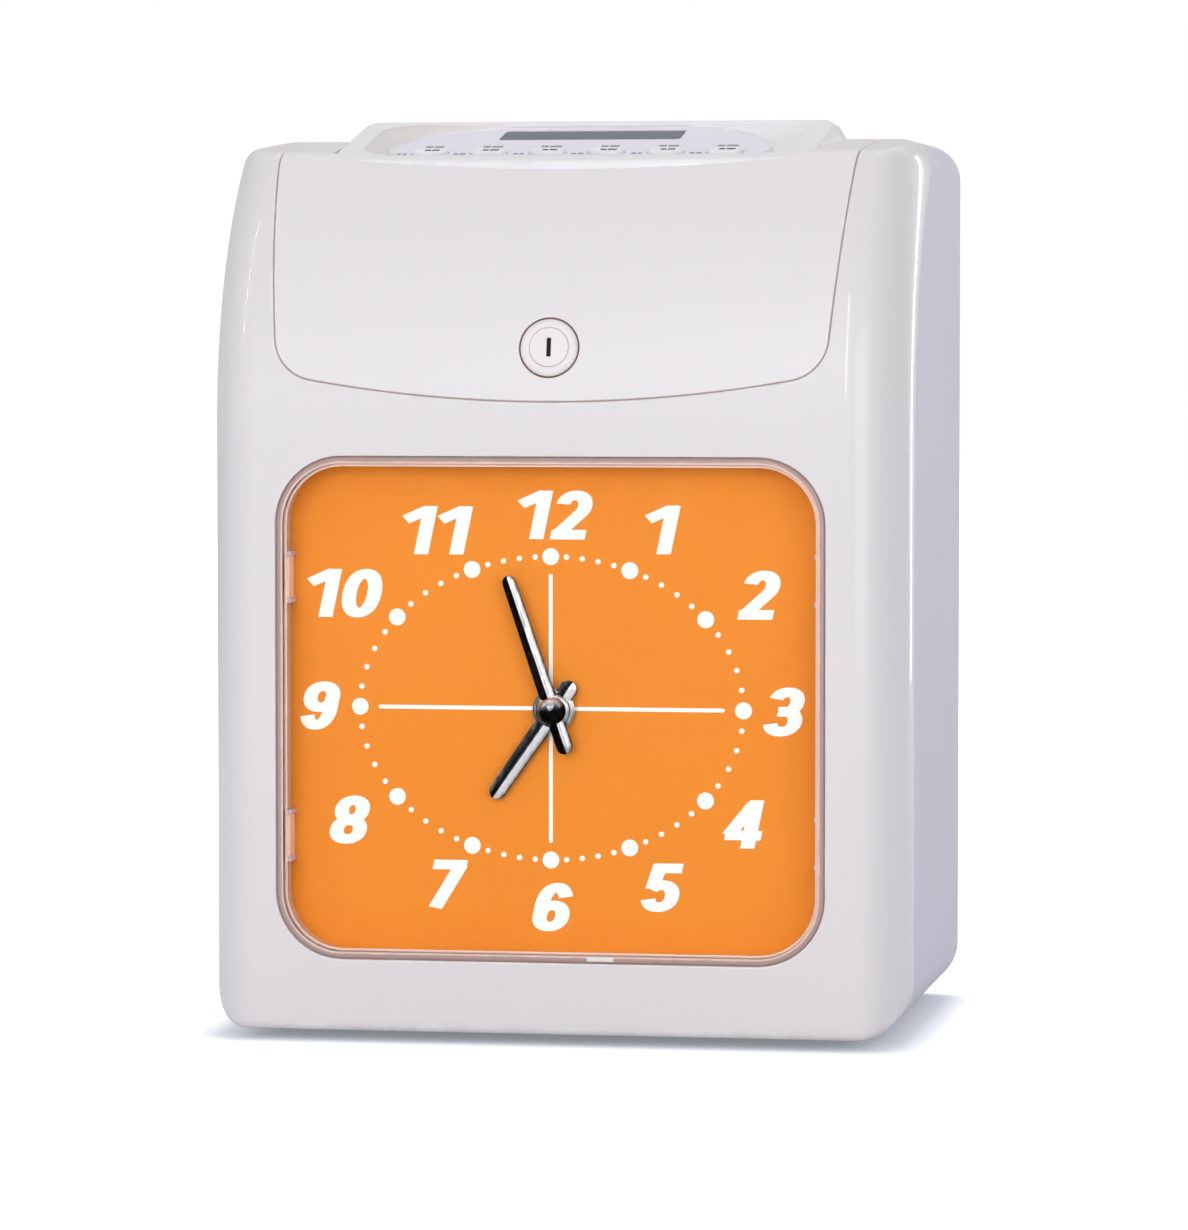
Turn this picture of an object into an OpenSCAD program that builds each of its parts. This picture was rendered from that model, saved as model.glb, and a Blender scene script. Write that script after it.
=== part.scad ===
// Punch card time clock, in millimetres, front towards -Y, standing on Z = 0.
// Inside the modules Y is the depth behind the front plane; at_front() moves that plane to its place.

/* [Body] */
// Width of the housing
body_w = 210; // [204:1:220]
// Depth from the front plane to the back
body_d = 150; // [150:1:156]
// Height of the flat top above the table
top_z = 268.5; // [267:0.5:271]
// Height of the rubber feet under the housing
foot_h = 3; // [2:0.5:4]
// Wall thickness of the mouldings
wall = 2.5; // [2.2:0.1:2.8]
// Height where the front starts to roll back
roll_z = 182; // [180:1:184]
// Radius of the rolled front
roll_r = 120; // [118:1:124]
// Depth of the swept front corners, where the parting line runs
sweep = 28; // [26:1:30]
// Width of the swept front corners
corner_in = 17; // [16:0.5:18]
// Small radius at the front of the swept corners
corner_r = 12; // [10:0.5:13]
// Front view radius of the top corners
top_corner = 11.5; // [10:0.5:13]
// Front view radius of the bottom corners
base_corner = 14; // [12:0.5:15]

/* [Window] */
// Width of the front beside the clock window
window_side = 23; // [22:0.5:25]
// Height of the clock window
window_h = 149; // [145:1:150]
// Height of the window centre
window_z = 99; // [97:0.5:101]
// Corner radius of the window
window_r = 20; // [16:1:24]
// Wall of the clear lens tray
lens_t = 2; // [1.8:0.1:2.4]
// Depth of the dial behind the front plane
dial_y = 12; // [11.5:0.5:13]

/* [Hands] */
// Length of the hour hand
hour_len = 31; // [26:1:34]
// Length of the minute hand
minute_len = 42; // [36:1:44]
// Hour hand angle, clockwise from twelve
hour_at = 215; // [0:1:359]
// Minute hand angle, clockwise from twelve
minute_at = 341; // [0:1:359]

/* [Cover] */
// Lowest point of the cover seam
cover_low = 189.8; // [188:0.2:191]
// Width of the front beside the cover at its lower corners
cover_side = 22.6; // [22:0.2:24]
// Flare of the cover sides in degrees
cover_flare = 5; // [4.4:0.1:5.2]
// Gap along the cover seam
seam = 0.45; // [0.35:0.05:0.6]
// Radius of the rolled hinge edge
bead_r = 3; // [2.8:0.1:3.2]
// Radius of the hinge pins
pin_r = 1.5; // [1.2:0.1:1.6]

/* [Lock] */
// Height of the lock on the cover
lock_z = 205.5; // [204:0.5:208]
// Radius of the lock barrel
lock_r = 8.7; // [8.2:0.1:9.2]
// Radius of the turning plug
plug_r = 5.8; // [5.2:0.1:6]

/* [Console] */
// Width of the console at its rim
console_w = 146; // [142:1:148]
// Tilt of the console panel
console_tilt = 12.5; // [12:0.1:13]
// Width of the sunk panel
panel_w = 117; // [114:1:120]
// Depth of the sunk panel along its slope
panel_h = 50.5; // [49:0.5:51]
// Front corner radius of the sunk panel
panel_r = 16; // [14:0.5:18]
// Display width
lcd_w = 56; // [50:1:60]
// Display depth along the panel
lcd_h = 16; // [14:0.5:17]
// Distance between keys
key_pitch = 18; // [17:0.2:19]
// Key width
key_w = 11; // [10:0.5:13]
// Key depth along the panel
key_h = 6.5; // [6:0.25:7.5]
// Key travel
key_travel = 1.2; // [0.8:0.1:1.2]

/* [Card path] */
// Width of the card channel
card_w = 88; // [86:1:90]
// Opening of the card channel
card_gap = 6; // [5.6:0.2:6.4]
// Depth of the card plane behind the front plane
card_y = 107; // [106:0.5:108]
// Radius of the rubber feed tyres
tyre_r = 11.7; // [11:0.1:12]
// Radius of the pinch rollers
pinch_r = 8; // [7.4:0.1:8.4]

/* [Print drive] */
// Radius of the carriage guide shafts
shaft_r = 3; // [2.5:0.1:3.4]
// Half travel of the print carriage
carriage_half = 34; // [24:1:34]
// Pulley radius under the belt
pulley_r = 6; // [5.4:0.2:6.4]
// Gear module of the card feed
gear_m = 1; // [0.96:0.01:1.02]

/* [Hidden] */
$fn = 64;
run = 0.05;
press = 0.02;
fit = 0.3;
hw = body_w / 2;
window_w = body_w - 2 * window_side;
cover_half = hw - cover_side;
zb = foot_h;
zt = top_z;
sweep_r = (corner_in * corner_in + sweep * sweep - 2 * sweep * corner_r) / (2 * (corner_in - corner_r));
c1 = [hw - corner_in, corner_r];
c2 = [hw - sweep_r, sweep];
cd = (c1 - c2) / norm(c1 - c2);
roll_c = [roll_r, roll_z];
// Top slope: six degrees down to the front from a line across the flat top, rounded into the rolled front.
slope_y = 80;
slope_u = [cos(6), sin(6)];
slope_n = [sin(6), -cos(6)];
brow_r = 16;
brow_q = [slope_y, zt] + brow_r * slope_n;
brow_c = brow_q - along(brow_q, slope_u, roll_c, roll_r - brow_r + 0.15) * slope_u;
brow_d = (brow_c - roll_c) / norm(brow_c - roll_c);
part_r = roll_r - sweep;
// Cover seam in the front view
flare = tan(cover_flare);
seam_r = 410;
seam_c = [0, cover_low + seam_r];
seam_fr = 13;
hinge_y = 84;
hinge_z = zt - bead_r;
lock_a = asin((lock_z - roll_z) / roll_r);
catch_z = cover_low - 4.3;
// Console
rim_y = 31;
rim_z = zt - 7.3;
con_y0 = 28;
con_y1 = 93;
con_z0 = zt - 19.7;
// The sides slope outwards, and the plan gains con_gain between con_mid and the rear corners
con_mid = 58;
con_gain = 4.5;
con_r = 5;
con_slope = 0.7;
con_half = console_w / 2 + con_gain * (hinge_y - con_mid) / (con_y1 - con_r - con_mid);
shelf_t = 2.5;
shelf_x = console_w / 2 - 4;
panel_v = 8;
lcd_v = 47.5;
key_v = 18.5;
sunk = 2.4;
con_t = 2;
panel_t = 1;
// Width of the sloping flank round the panel, and what it gains at the sides
flank = 2;
flank_x = 4.5;
floor_z = -sunk - con_t;
lcd_board = [-41, 41, 31.5, 59.2];
lcd_board_z = floor_z - 0.6;
key_board_z = floor_z - 6.7;
board_t = 1.5;
key_posts = [for (x = [-57, 57], v = [key_v - 6, key_v + 6]) [x, v]];
lcd_posts = [for (x = [-37, 37], v = [34, 57]) [x, v]];
// Clock
dial_t = 1.2;
dial_w = body_w - 17;
dial_h = window_h + 5;
dial_zc = window_z - 0.6;
bush_r = 3.9;
tube_r = 2.7;
arbor_r = 1.5;
// Chassis and card path
plate_t = 1.5;
cha_x = 67.5;
cha_y0 = 58;
cha_y1 = 128;
cha_z0 = zb + wall + 2.5;
cha_z1 = 240;
gap_f = card_y - card_gap / 2;
gap_b = card_y + card_gap / 2;
guide_t = 1.2;
guide_z0 = 95;
guide_z1 = zt - 7;
print_z = 208;
rod_y = 82;
rod_z1 = 199;
rod_z2 = 222;
feed_z = 170;
nip = 0.6;
feed_y = card_y + nip / 2 + tyre_r;
pinch_y = card_y - nip / 2 - pinch_r;
belt_y = 80;
belt_z = 184;
pulley_x = 50;
motor_shelf_z = 178;
gear_n = 36;
pinion_n = 18;
gear_x = cha_x + 2;
pinion_z = feed_z - gear_m * (gear_n + pinion_n) / 2;
tray_z = 196;
feet_at = [for (x = [20 - hw, hw - 20], y = [sweep + 12, body_d - 15]) [x, y]];
panel_at = [for (x = [10 - hw, hw - 10], z = [zb + 14, zt - 13.5]) [x, z]];
dial_at = [for (x = [8.2 - dial_w / 2, dial_w / 2 - 8.2], z = [8 - dial_h / 2, dial_h / 2 - 8])
    [x, window_z + z]];
inlet_at = [25 - hw, zb + 27];
// Main board in front of the rear panel
board_half = 68;
board_z0 = 60;
board_z1 = 165;
board_y = body_d - 14;
board_at = [for (x = [6 - board_half, board_half - 6], z = [board_z0 + 6, board_z1 - 6]) [x, z]];
keys_x = [for (i = [0:5]) (i - 2.5) * key_pitch];

// Distance back along a line from q to the point that lies d from a
function along(q, u, a, d) = u * (q - a) + sqrt(pow(u * (q - a), 2) - (q - a) * (q - a) + d * d);
function cover_w(z) = cover_half + (z - 209) * flare;
// Outline of the cover in the front view, grown by off
function cover_pts(off) =
    let (sr = seam_r + off,
        dir = [sin(cover_flare), cos(cover_flare)],
        nrm = [-cos(cover_flare), sin(cover_flare)],
        fr = seam_fr + off,
        edge = [cover_half, 209] - off * nrm,
        q = edge + fr * nrm,
        fc = q - along(q, dir, seam_c, sr - fr) * dir,
        a0 = atan2(fc[1] - seam_c[1], fc[0]),
        half = concat(
            [for (i = [0:16]) seam_c + sr * [cos(-90 + (a0 + 90) * i / 16), sin(-90 + (a0 + 90) * i / 16)]],
            [for (i = [1:10]) fc + fr * [cos(a0 + (-cover_flare - a0) * i / 10),
                sin(a0 + (-cover_flare - a0) * i / 10)]],
            [edge + 80 * dir]))
    concat(half, [for (i = [len(half) - 1:-1:1]) [-half[i][0], half[i][1]]]);
// Involute gear outline
function inv(a) = tan(a) - a * PI / 180;
function tooth_half(r, rb, n, bl) = 90 / n - bl + (inv(20) - inv(acos(min(1, rb / r)))) * 180 / PI;
function gear_pts(m, n, bl) =
    let (r = m * n / 2, rb = r * cos(20), ro = r + 0.85 * m, rr = r - 1.25 * m,
        steps = [for (i = [0:4]) rb + (ro - rb) * i / 4])
    [for (k = [0:n - 1]) each concat(
        [[rr, k * 360 / n - tooth_half(rb, rb, n, bl)]],
        [for (p = steps) [p, k * 360 / n - tooth_half(p, rb, n, bl)]],
        [for (i = [4:-1:0]) [steps[i], k * 360 / n + tooth_half(steps[i], rb, n, bl)]],
        [[rr, k * 360 / n + tooth_half(rb, rb, n, bl)]])];
function polar(pts) = [for (p = pts) p[0] * [cos(p[1]), sin(p[1])]];

// Shared helpers
module at_front() { translate([0, -body_d / 2, 0]) children(); }
module along_y(y0, y1) { translate([0, y1, 0]) rotate([90, 0, 0]) linear_extrude(y1 - y0) children(); }
module along_x(x0, x1) { translate([x0, 0, 0]) rotate([90, 0, 90]) linear_extrude(x1 - x0) children(); }
module rod_x(x0, x1, y, z, r) { translate([x0, y, z]) rotate([0, 90, 0]) cylinder(r = r, h = x1 - x0); }
module rod_yy(y0, y1, x, z, r) { translate([x, y1, z]) rotate([90, 0, 0]) cylinder(r = r, h = y1 - y0); }
module block(x0, x1, y0, y1, z0, z1) { translate([x0, y0, z0]) cube([x1 - x0, y1 - y0, z1 - z0]); }
module both() { children(); mirror([1, 0, 0]) children(); }
module rrect(w, h, r) {
    square([w - 2 * r, h], center = true);
    square([w, h - 2 * r], center = true);
    for (x = [-1, 1], y = [-1, 1]) translate([x * (w / 2 - r), y * (h / 2 - r)]) circle(r);
}
module slot2d(w, h) {
    square([w - h, h], center = true);
    for (x = [-1, 1]) translate([x * (w - h) / 2, 0]) circle(h / 2);
}

// Plan of the body with its swept front corners, drawn in by t
module plan(t, back) {
    tp = c2 + (sweep_r - t) * cd;
    polygon([[-c1[0], t], [c1[0], t], tp, [hw - t, sweep], [hw - t, back], [t - hw, back], [t - hw, sweep],
        [-tp[0], tp[1]]]);
    both() {
        translate(c1) circle(corner_r - t);
        intersection() {
            translate(c2) circle(sweep_r - t);
            polygon([c2, c2 + 2 * sweep_r * cd, c2 + [2 * sweep_r, 0]]);
        }
    }
}
module front_plan(t, back) {
    intersection() {
        plan(t, 60);
        translate([-200, -1]) square([400, back + 1]);
    }
}
// Front view outline, drawn in by t
module outline(t) {
    translate([t - hw, zb + base_corner]) square([body_w - 2 * t, zt - top_corner - zb - base_corner]);
    translate([base_corner - hw, zb + t]) square([body_w - 2 * base_corner, 60]);
    translate([top_corner - hw, zt - t - 60]) square([body_w - 2 * top_corner, 60]);
    both() {
        translate([hw - base_corner, zb + base_corner]) circle(base_corner - t);
        translate([hw - top_corner, zt - top_corner]) circle(top_corner - t);
    }
}
// What the sloping top and its rounded brow take off, drawn in by t
module brow(t) {
    p = [slope_y, zt] + t * slope_n;
    polygon([p + 14 * slope_u, p - 100 * slope_u, p - 100 * slope_u + [0, 80], p + 14 * slope_u + [0, 80]]);
    difference() {
        polygon([brow_c, brow_c - 34 * slope_n, brow_c + 34 * (brow_d - slope_n), brow_c + 34 * brow_d]);
        translate(brow_c) circle(brow_r - t);
    }
}
// Room above the rounded top, drawn in by t, with each corner in eight flats
module over(t) {
    r = concat([for (i = [0:8]) [hw - top_corner + (top_corner - t) * sin(i * 11.25),
        zt - top_corner + (top_corner - t) * cos(i * 11.25)]], [[hw + 6, zt - top_corner], [hw + 6, zt + 60]]);
    polygon(concat(r, [for (i = [len(r) - 1:-1:0]) [-r[i][0], r[i][1]]]));
}
// Front form below the roll: the plan pulled up, drawn in by t
module lower_form(t, back) {
    intersection() {
        translate([0, 0, zb - 1]) linear_extrude(roll_z - zb + 1 + t / 4) front_plan(t, back);
        along_y(-1, 60) outline(t);
    }
}
// Front form above: the same plan revolved back over the rolled front, drawn in by t
module upper_form(t, back) {
    difference() {
        translate([0, roll_r, roll_z]) rotate([0, -90, 0]) rotate([0, 0, -90])
            rotate_extrude(angle = 80) translate([roll_r, 0]) rotate(90) front_plan(t, back);
        along_y(-1, 130) over(t);
        along_x(-hw - 1, hw + 1) brow(t);
    }
}
// Side view of the front and the top, drawn in by t
module side_view(t) {
    difference() {
        intersection() {
            translate(roll_c) circle(roll_r - t);
            translate([0, roll_z - 1]) square([roll_r, 200]);
        }
        brow(t);
        translate([0, zt - t]) square([300, 60]);
    }
}
// Everything behind the parting line, set back by g
module behind(g) {
    along_x(-hw - 2, hw + 2) {
        translate([sweep + g, -5]) square([200, roll_z + 5]);
        translate(roll_c) circle(part_r - g);
        translate([roll_r, roll_z - 1]) square([100, 140]);
    }
}
module lock_frame() {
    translate([0, roll_r, roll_z]) rotate([-lock_a, 0, 0]) translate([0, -roll_r, 0]) children();
}
module console_frame() { translate([0, rim_y, rim_z]) rotate([console_tilt, 0, 0]) children(); }
module console_plan(off) {
    x0 = console_w / 2 + off;
    x1 = x0 + con_gain;
    y0 = con_y0 - off;
    y1 = con_y1 + off;
    rf = 12 + off;
    rr = con_r + off;
    intersection() {
        union() {
            polygon([[rf - x0, y0], [x0 - rf, y0], [x0, y0 + rf], [x0, con_mid], [x1, y1 - rr], [x1 - rr, y1],
                [rr - x1, y1], [-x1, y1 - rr], [-x0, con_mid], [-x0, y0 + rf]]);
            both() {
                translate([x0 - rf, y0 + rf]) circle(rf);
                translate([x1 - rr, y1 - rr]) circle(rr);
            }
        }
        translate([0, con_y0 + 640]) circle(640 + off, $fn = 256);
    }
}
// Room under the rim plane between the sloping sides, drawn in by t and cut off at height top
module under_rim(t, top) {
    a = console_w / 2 - t - con_slope * top;
    console_frame() along_y(-20, 100)
        polygon([[-a, top], [a, top], [a + con_slope * (top + 60), -60], [-a - con_slope * (top + 60), -60]]);
}
// Outline of the sunk panel: small front corners, large rear ones; grown by off and by wide at the sides
module panel_plan(off, wide) {
    rear_r = panel_h - panel_r;
    x0 = panel_w / 2 + wide;
    v0 = panel_v + panel_r;
    polygon([[panel_r - x0, panel_v - off], [x0 - panel_r, panel_v - off], [x0 + off, v0],
        [x0 - rear_r, panel_v + panel_h + off], [rear_r - x0, panel_v + panel_h + off], [-x0 - off, v0]]);
    both() {
        translate([x0 - panel_r, v0]) circle(panel_r + off);
        intersection() {
            translate([x0 - rear_r, v0]) circle(rear_r + off);
            translate([0, v0]) square(100);
        }
    }
}
module key_holes() {
    for (x = keys_x) translate([x, key_v]) slot2d(key_w + 2 * fit, key_h + 2 * fit);
}

module hinge_hole(r) { rod_x(con_half - 6, cover_w(zt) + 6, hinge_y, hinge_z, r); }

// Housing
module front_shell() {
    color("gainsboro") at_front() {
        difference() {
            union() {
                difference() {
                    upper_form(0, sweep);
                    upper_form(wall, sweep + 1);
                }
                difference() {
                    lower_form(0, sweep);
                    lower_form(wall, sweep + 1);
                }
            }
            along_y(-1, sweep) translate([0, window_z]) rrect(window_w, window_h, window_r);
            along_y(-1, 100) polygon(cover_pts(seam));
            both() hinge_hole(pin_r);
        }
        // bosses that carry the dial
        for (p = dial_at) difference() {
            rod_yy(1.2, dial_y, p[0], p[1], 3.2);
            rod_yy(4, dial_y + 1, p[0], p[1], 1.1);
        }
        // ribs that hold the hinge pins
        both() difference() {
            block(cover_w(zt) + 0.8, cover_w(zt) + 3.8, hinge_y - 8, hinge_y + 3, hinge_z - 6, zt - 1);
            hinge_hole(pin_r);
        }
        // catch behind the lower edge of the opening
        block(-9, 9, 1.2, 15, catch_z, catch_z + wall);
        block(-9, 9, 15 - wall, 15, catch_z, catch_z + 6);
        // tongue that locates the shell on the rear housing
        both() {
            block(hw - wall - 2.2, hw - wall - 0.2, sweep - 10, sweep + 5, 40, roll_z - 20);
            block(hw - wall - 2.2, hw - wall + 0.5, sweep - 10, sweep - 1, 40, roll_z - 20);
        }
    }
}
module rear_housing() {
    color("lightgray") at_front() {
        difference() {
            intersection() {
                along_y(0, body_d) outline(0);
                behind(0.2);
            }
            along_y(-1, body_d + 5) outline(wall);
            translate([0, 0, 240]) linear_extrude(60) console_plan(0.4);
            // room for the rolled hinge edge and the ribs beside it
            block(-cover_w(zt) - 4.3, cover_w(zt) + 4.3, 60, hinge_y + bead_r + 0.4, 250, zt + 10);
            block(-card_w / 2 - 4.4, card_w / 2 + 4.4, gap_f - 3, gap_b + 3, 250, zt + 10);
            for (p = feet_at) translate([p[0], p[1], zb - 1]) cylinder(r = 2.55, h = wall + 2);
        }
        // shelf under the console
        difference() {
            union() {
                block(-shelf_x, shelf_x, 36, con_y1 + 3.4, con_z0 - 0.3 - shelf_t, con_z0 - 0.3);
                block(-shelf_x, shelf_x, con_y1 + 0.9, con_y1 + 3.4, con_z0 - 1, zt - wall + 0.5);
            }
            translate([0, 62, con_z0 - 10]) linear_extrude(20) slot2d(40, 12);
        }
        // posts for the rear panel
        for (p = panel_at) difference() {
            union() {
                rod_yy(body_d - 24, body_d - 2.7, p[0], p[1], 4.5);
                mirror([p[0] > 0 ? 0 : 1, 0, 0])
                    block(abs(p[0]), hw - wall / 2, body_d - 24, body_d - 2.7, p[1] - 1.2, p[1] + 1.2);
            }
            rod_yy(body_d - 16, body_d, p[0], p[1], 1.3);
        }
        // floor bosses for the chassis
        for (x = [-54, 54], y = [66, 120]) difference() {
            translate([x, y, zb + 1]) cylinder(r = 5, h = cha_z0 - zb - 1);
            translate([x, y, zb + 1.5]) cylinder(r = 1.3, h = 20);
        }
    }
}
module rear_panel() {
    color("lightgray") at_front() difference() {
        along_y(body_d - wall, body_d) difference() {
            intersection() {
                outline(wall + fit);
                translate([-200, zb]) square([400, 300]);
            }
            // vents
            for (i = [-5:5]) translate([i * 8, 226]) rotate(90) slot2d(30, 3);
            for (i = [-5:5]) translate([i * 8, 40]) rotate(90) slot2d(24, 3);
            // wall keyholes
            for (x = [-60, 60]) {
                translate([x, 182]) circle(5);
                translate([x, 188]) rotate(90) slot2d(12, 4.4);
            }
            translate(inlet_at) circle(6.2);
            for (p = panel_at) translate(p) circle(1.7);
        }
        for (p = panel_at) rod_yy(body_d - 1.4, body_d + 1, p[0], p[1], 3.4);
    }
}
module panel_screws() {
    color("silver") at_front() for (p = panel_at) {
        rod_yy(body_d - 1.4, body_d - 0.1, p[0], p[1], 3);
        rod_yy(body_d - 14, body_d - 1.2, p[0], p[1], 1.3);
    }
}
module feet() {
    color("dimgray") at_front() for (p = feet_at) translate([p[0], p[1], 0]) {
        cylinder(r = 7, h = zb);
        cylinder(r = 2.5, h = zb + wall + 1.5);
    }
}

// Cover and lock
module top_cover() {
    color("whitesmoke") at_front() difference() {
        union() {
            difference() {
                intersection() {
                    along_x(-90, 90) difference() {
                        side_view(0);
                        side_view(wall);
                    }
                    along_y(-1, hinge_y) polygon(cover_pts(0));
                }
                translate([0, 0, 240]) linear_extrude(50) console_plan(0.6);
            }
            both() rod_x(con_half + 1.2, cover_w(hinge_z), hinge_y, hinge_z, bead_r);
        }
        both() hinge_hole(pin_r + run);
        lock_frame() rod_yy(-5, 8, 0, 0, lock_r + fit);
    }
}
module hinge_pins() {
    color("silver") at_front() both()
        rod_x(con_half - con_t - 0.4, cover_w(zt) + 3.8, hinge_y, hinge_z, pin_r - 0.02);
}
module lock_body() {
    color("silver") at_front() lock_frame() difference() {
        union() {
            rod_yy(-0.4, 22, 0, 0, lock_r);
            rod_yy(wall + 0.6, wall + 1.8, 0, 0, lock_r + 2);
        }
        rod_yy(-1, 23, 0, 0, plug_r + run);
    }
}
module lock_nut() {
    color("silver") at_front() lock_frame() difference() {
        along_y(wall + 2, wall + 6) circle(lock_r + 4, $fn = 6);
        rod_yy(0, 20, 0, 0, lock_r + 0.05);
    }
}
module lock_plug() {
    color("gainsboro") at_front() lock_frame() difference() {
        union() {
            rod_yy(-0.4, 22.4, 0, 0, plug_r);
            block(-3, 3, 22, 25.2, -3, 3);
        }
        block(-0.65, 0.65, -2, 9, -3.1, 3.1);
        rod_yy(16, 30, 0, 0, 1.2);
    }
}
module lock_cam() {
    color("silver") at_front() lock_frame() along_y(22.8, 24.8) difference() {
        union() {
            circle(6.5);
            translate([0, -4]) square([17, 8]);
            translate([17, 0]) circle(4);
        }
        square(6.1, center = true);
    }
}
module cam_screw() {
    color("gray") at_front() lock_frame() {
        rod_yy(25.3, 27.3, 0, 0, 3.4);
        rod_yy(17, 25.5, 0, 0, 1.2);
    }
}

// Console
module console() {
    color("lavender") at_front() difference() {
        union() {
            difference() {
                intersection() {
                    translate([0, 0, con_z0]) linear_extrude(40) console_plan(0);
                    under_rim(0, 0);
                }
                intersection() {
                    translate([0, 0, con_z0 - 1]) linear_extrude(40) console_plan(-con_t);
                    under_rim(con_t, floor_z);
                }
            }
            // posts for the key board and the display board
            console_frame() {
                for (p = key_posts) translate([p[0], p[1], key_board_z + 0.1])
                    cylinder(r = 2.4, h = floor_z - key_board_z + 1);
                for (p = lcd_posts) translate([p[0], p[1], lcd_board_z + 0.1])
                    cylinder(r = 2, h = floor_z - lcd_board_z + 1);
            }
        }
        console_frame() {
            // sunk panel with its sloping flank
            hull() {
                translate([0, 0, -sunk]) linear_extrude(0.1) panel_plan(0, 0, $fn = 32);
                linear_extrude(1) panel_plan(flank, flank_x, $fn = 32);
            }
            translate([0, lcd_v, floor_z - 4]) linear_extrude(10) rrect(lcd_w, lcd_h, 1.5);
            translate([0, 0, floor_z - 4]) linear_extrude(10) key_holes();
        }
        both() hinge_hole(pin_r);
    }
}
module console_panel() {
    color("lavender") at_front() console_frame() translate([0, 0, -sunk]) linear_extrude(panel_t) difference() {
        panel_plan(-0.2, 0);
        translate([0, lcd_v]) rrect(lcd_w, lcd_h, 1.5);
        key_holes();
    }
}
module display() {
    color("darkslategray") at_front() console_frame() translate([0, lcd_v, floor_z - 0.4])
        linear_extrude(con_t + panel_t) rrect(lcd_w - 0.3, lcd_h - 0.3, 1.35);
}
module display_board() {
    color("green") at_front() console_frame() difference() {
        block(lcd_board[0], lcd_board[1], lcd_board[2], lcd_board[3], lcd_board_z - board_t, lcd_board_z);
        for (p = lcd_posts) translate([p[0], p[1], lcd_board_z - 5]) cylinder(r = 1.1, h = 9);
    }
}
module key_board() {
    color("green") at_front() console_frame() {
        difference() {
            block(-61, 61, key_v - 10, key_v + 10, key_board_z - board_t, key_board_z);
            for (p = key_posts) translate([p[0], p[1], key_board_z - 5]) cylinder(r = 1.1, h = 9);
        }
        for (x = keys_x) translate([x, key_v, key_board_z - 0.1]) {
            translate([-3, -3, 0]) cube([6, 6, 1]);
            cylinder(r = 1.6, h = 1.6);
        }
    }
}
module button(i) {
    color("white") at_front() console_frame() translate([keys_x[i], key_v, floor_z - fit - 1.2]) {
        linear_extrude(sunk + con_t + fit + 0.9) slot2d(key_w, key_h);
        linear_extrude(1.2) slot2d(key_w + 3, key_h + 3);
        translate([0, 0, -2.3]) cylinder(r = 2, h = 3);
    }
}
module button_1() { button(0); }
module button_2() { button(1); }
module button_3() { button(2); }
module button_4() { button(3); }
module button_5() { button(4); }
module button_6() { button(5); }

// Clock face
module lens() {
    color("lightblue", 0.4) at_front() translate([0, 0, window_z]) difference() {
        union() {
            along_y(0.6, dial_y - 0.2) rrect(window_w - 0.6, window_h - 0.6, window_r - 0.3);
            along_y(wall + 0.2, wall + 1.7) rrect(window_w + 5, window_h + 5, window_r + 2.5);
        }
        along_y(0.6 + lens_t, dial_y) rrect(window_w - 0.6 - 2 * lens_t, window_h - 0.6 - 2 * lens_t,
            window_r - 0.3 - lens_t);
    }
}
module dial() {
    color("darkorange") at_front() along_y(dial_y, dial_y + dial_t) difference() {
        translate([0, window_z]) rrect(dial_w, dial_h, 14);
        translate([0, dial_zc]) circle(bush_r + 0.1);
        for (p = dial_at) translate(p) circle(1.6);
    }
}
module dial_clips() {
    color("white") at_front() both() for (z = [60.5, 137.4]) {
        x = window_w / 2 - 0.3 - lens_t;
        block(x - 2.2, x - 0.2, dial_y - 4.5, dial_y - 0.05, z - 7.5, z + 7.5);
        block(x - 4.2, x - 1, dial_y - 1.2, dial_y - 0.05, z - 7.5, z + 7.5);
    }
}
module dial_screws() {
    color("silver") at_front() for (p = dial_at) {
        rod_yy(dial_y + dial_t + 0.05, dial_y + dial_t + 2, p[0], p[1], 3);
        rod_yy(5, dial_y + dial_t + 0.5, p[0], p[1], 1.05);
    }
}
module clock_movement() {
    color("dimgray") at_front() translate([0, 0, dial_zc]) difference() {
        union() {
            along_y(dial_y + dial_t + 0.1, dial_y + dial_t + 17) rrect(58, 58, 4);
            along_y(dial_y + dial_t + 16, dial_y + dial_t + 19) translate([0, -12]) rrect(40, 22, 3);
            rod_yy(dial_y - 1, dial_y + dial_t + 2, 0, 0, bush_r);
        }
        rod_yy(0, dial_y + dial_t + 12, 0, 0, tube_r + run);
    }
}
module hand_plan(len, w0, w1, tail, hub) {
    polygon([[-w0 / 2, -tail], [w0 / 2, -tail], [w0 / 2, 0], [w1 / 2, len - w1 / 2],
        [-w1 / 2, len - w1 / 2], [-w0 / 2, 0]]);
    translate([0, len - w1 / 2]) circle(w1 / 2);
    translate([0, -tail]) circle(w0 / 2);
    circle(hub);
}
module on_dial(at) { translate([0, 0, dial_zc]) rotate([0, at, 0]) children(); }
module hour_hand() {
    color("silver") at_front() on_dial(hour_at) difference() {
        union() {
            along_y(dial_y - 2.8, dial_y - 1.8) hand_plan(hour_len, 5, 4, 7.5, 6.3);
            rod_yy(dial_y - 3.2, dial_y - 1.3, 0, 0, 4.2);
        }
        rod_yy(0, 20, 0, 0, tube_r + press);
    }
}
module hour_tube() {
    color("goldenrod") at_front() translate([0, 0, dial_zc]) difference() {
        rod_yy(dial_y - 3.2, dial_y + dial_t + 11, 0, 0, tube_r);
        rod_yy(0, 40, 0, 0, arbor_r + run);
    }
}
module minute_hand() {
    color("silver") at_front() on_dial(minute_at) difference() {
        union() {
            along_y(dial_y - 4.8, dial_y - 3.8) hand_plan(minute_len, 4, 3.2, 11, 5);
            rod_yy(dial_y - 5, dial_y - 3.6, 0, 0, 3.4);
        }
        rod_yy(0, 20, 0, 0, arbor_r + press);
    }
}
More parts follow.
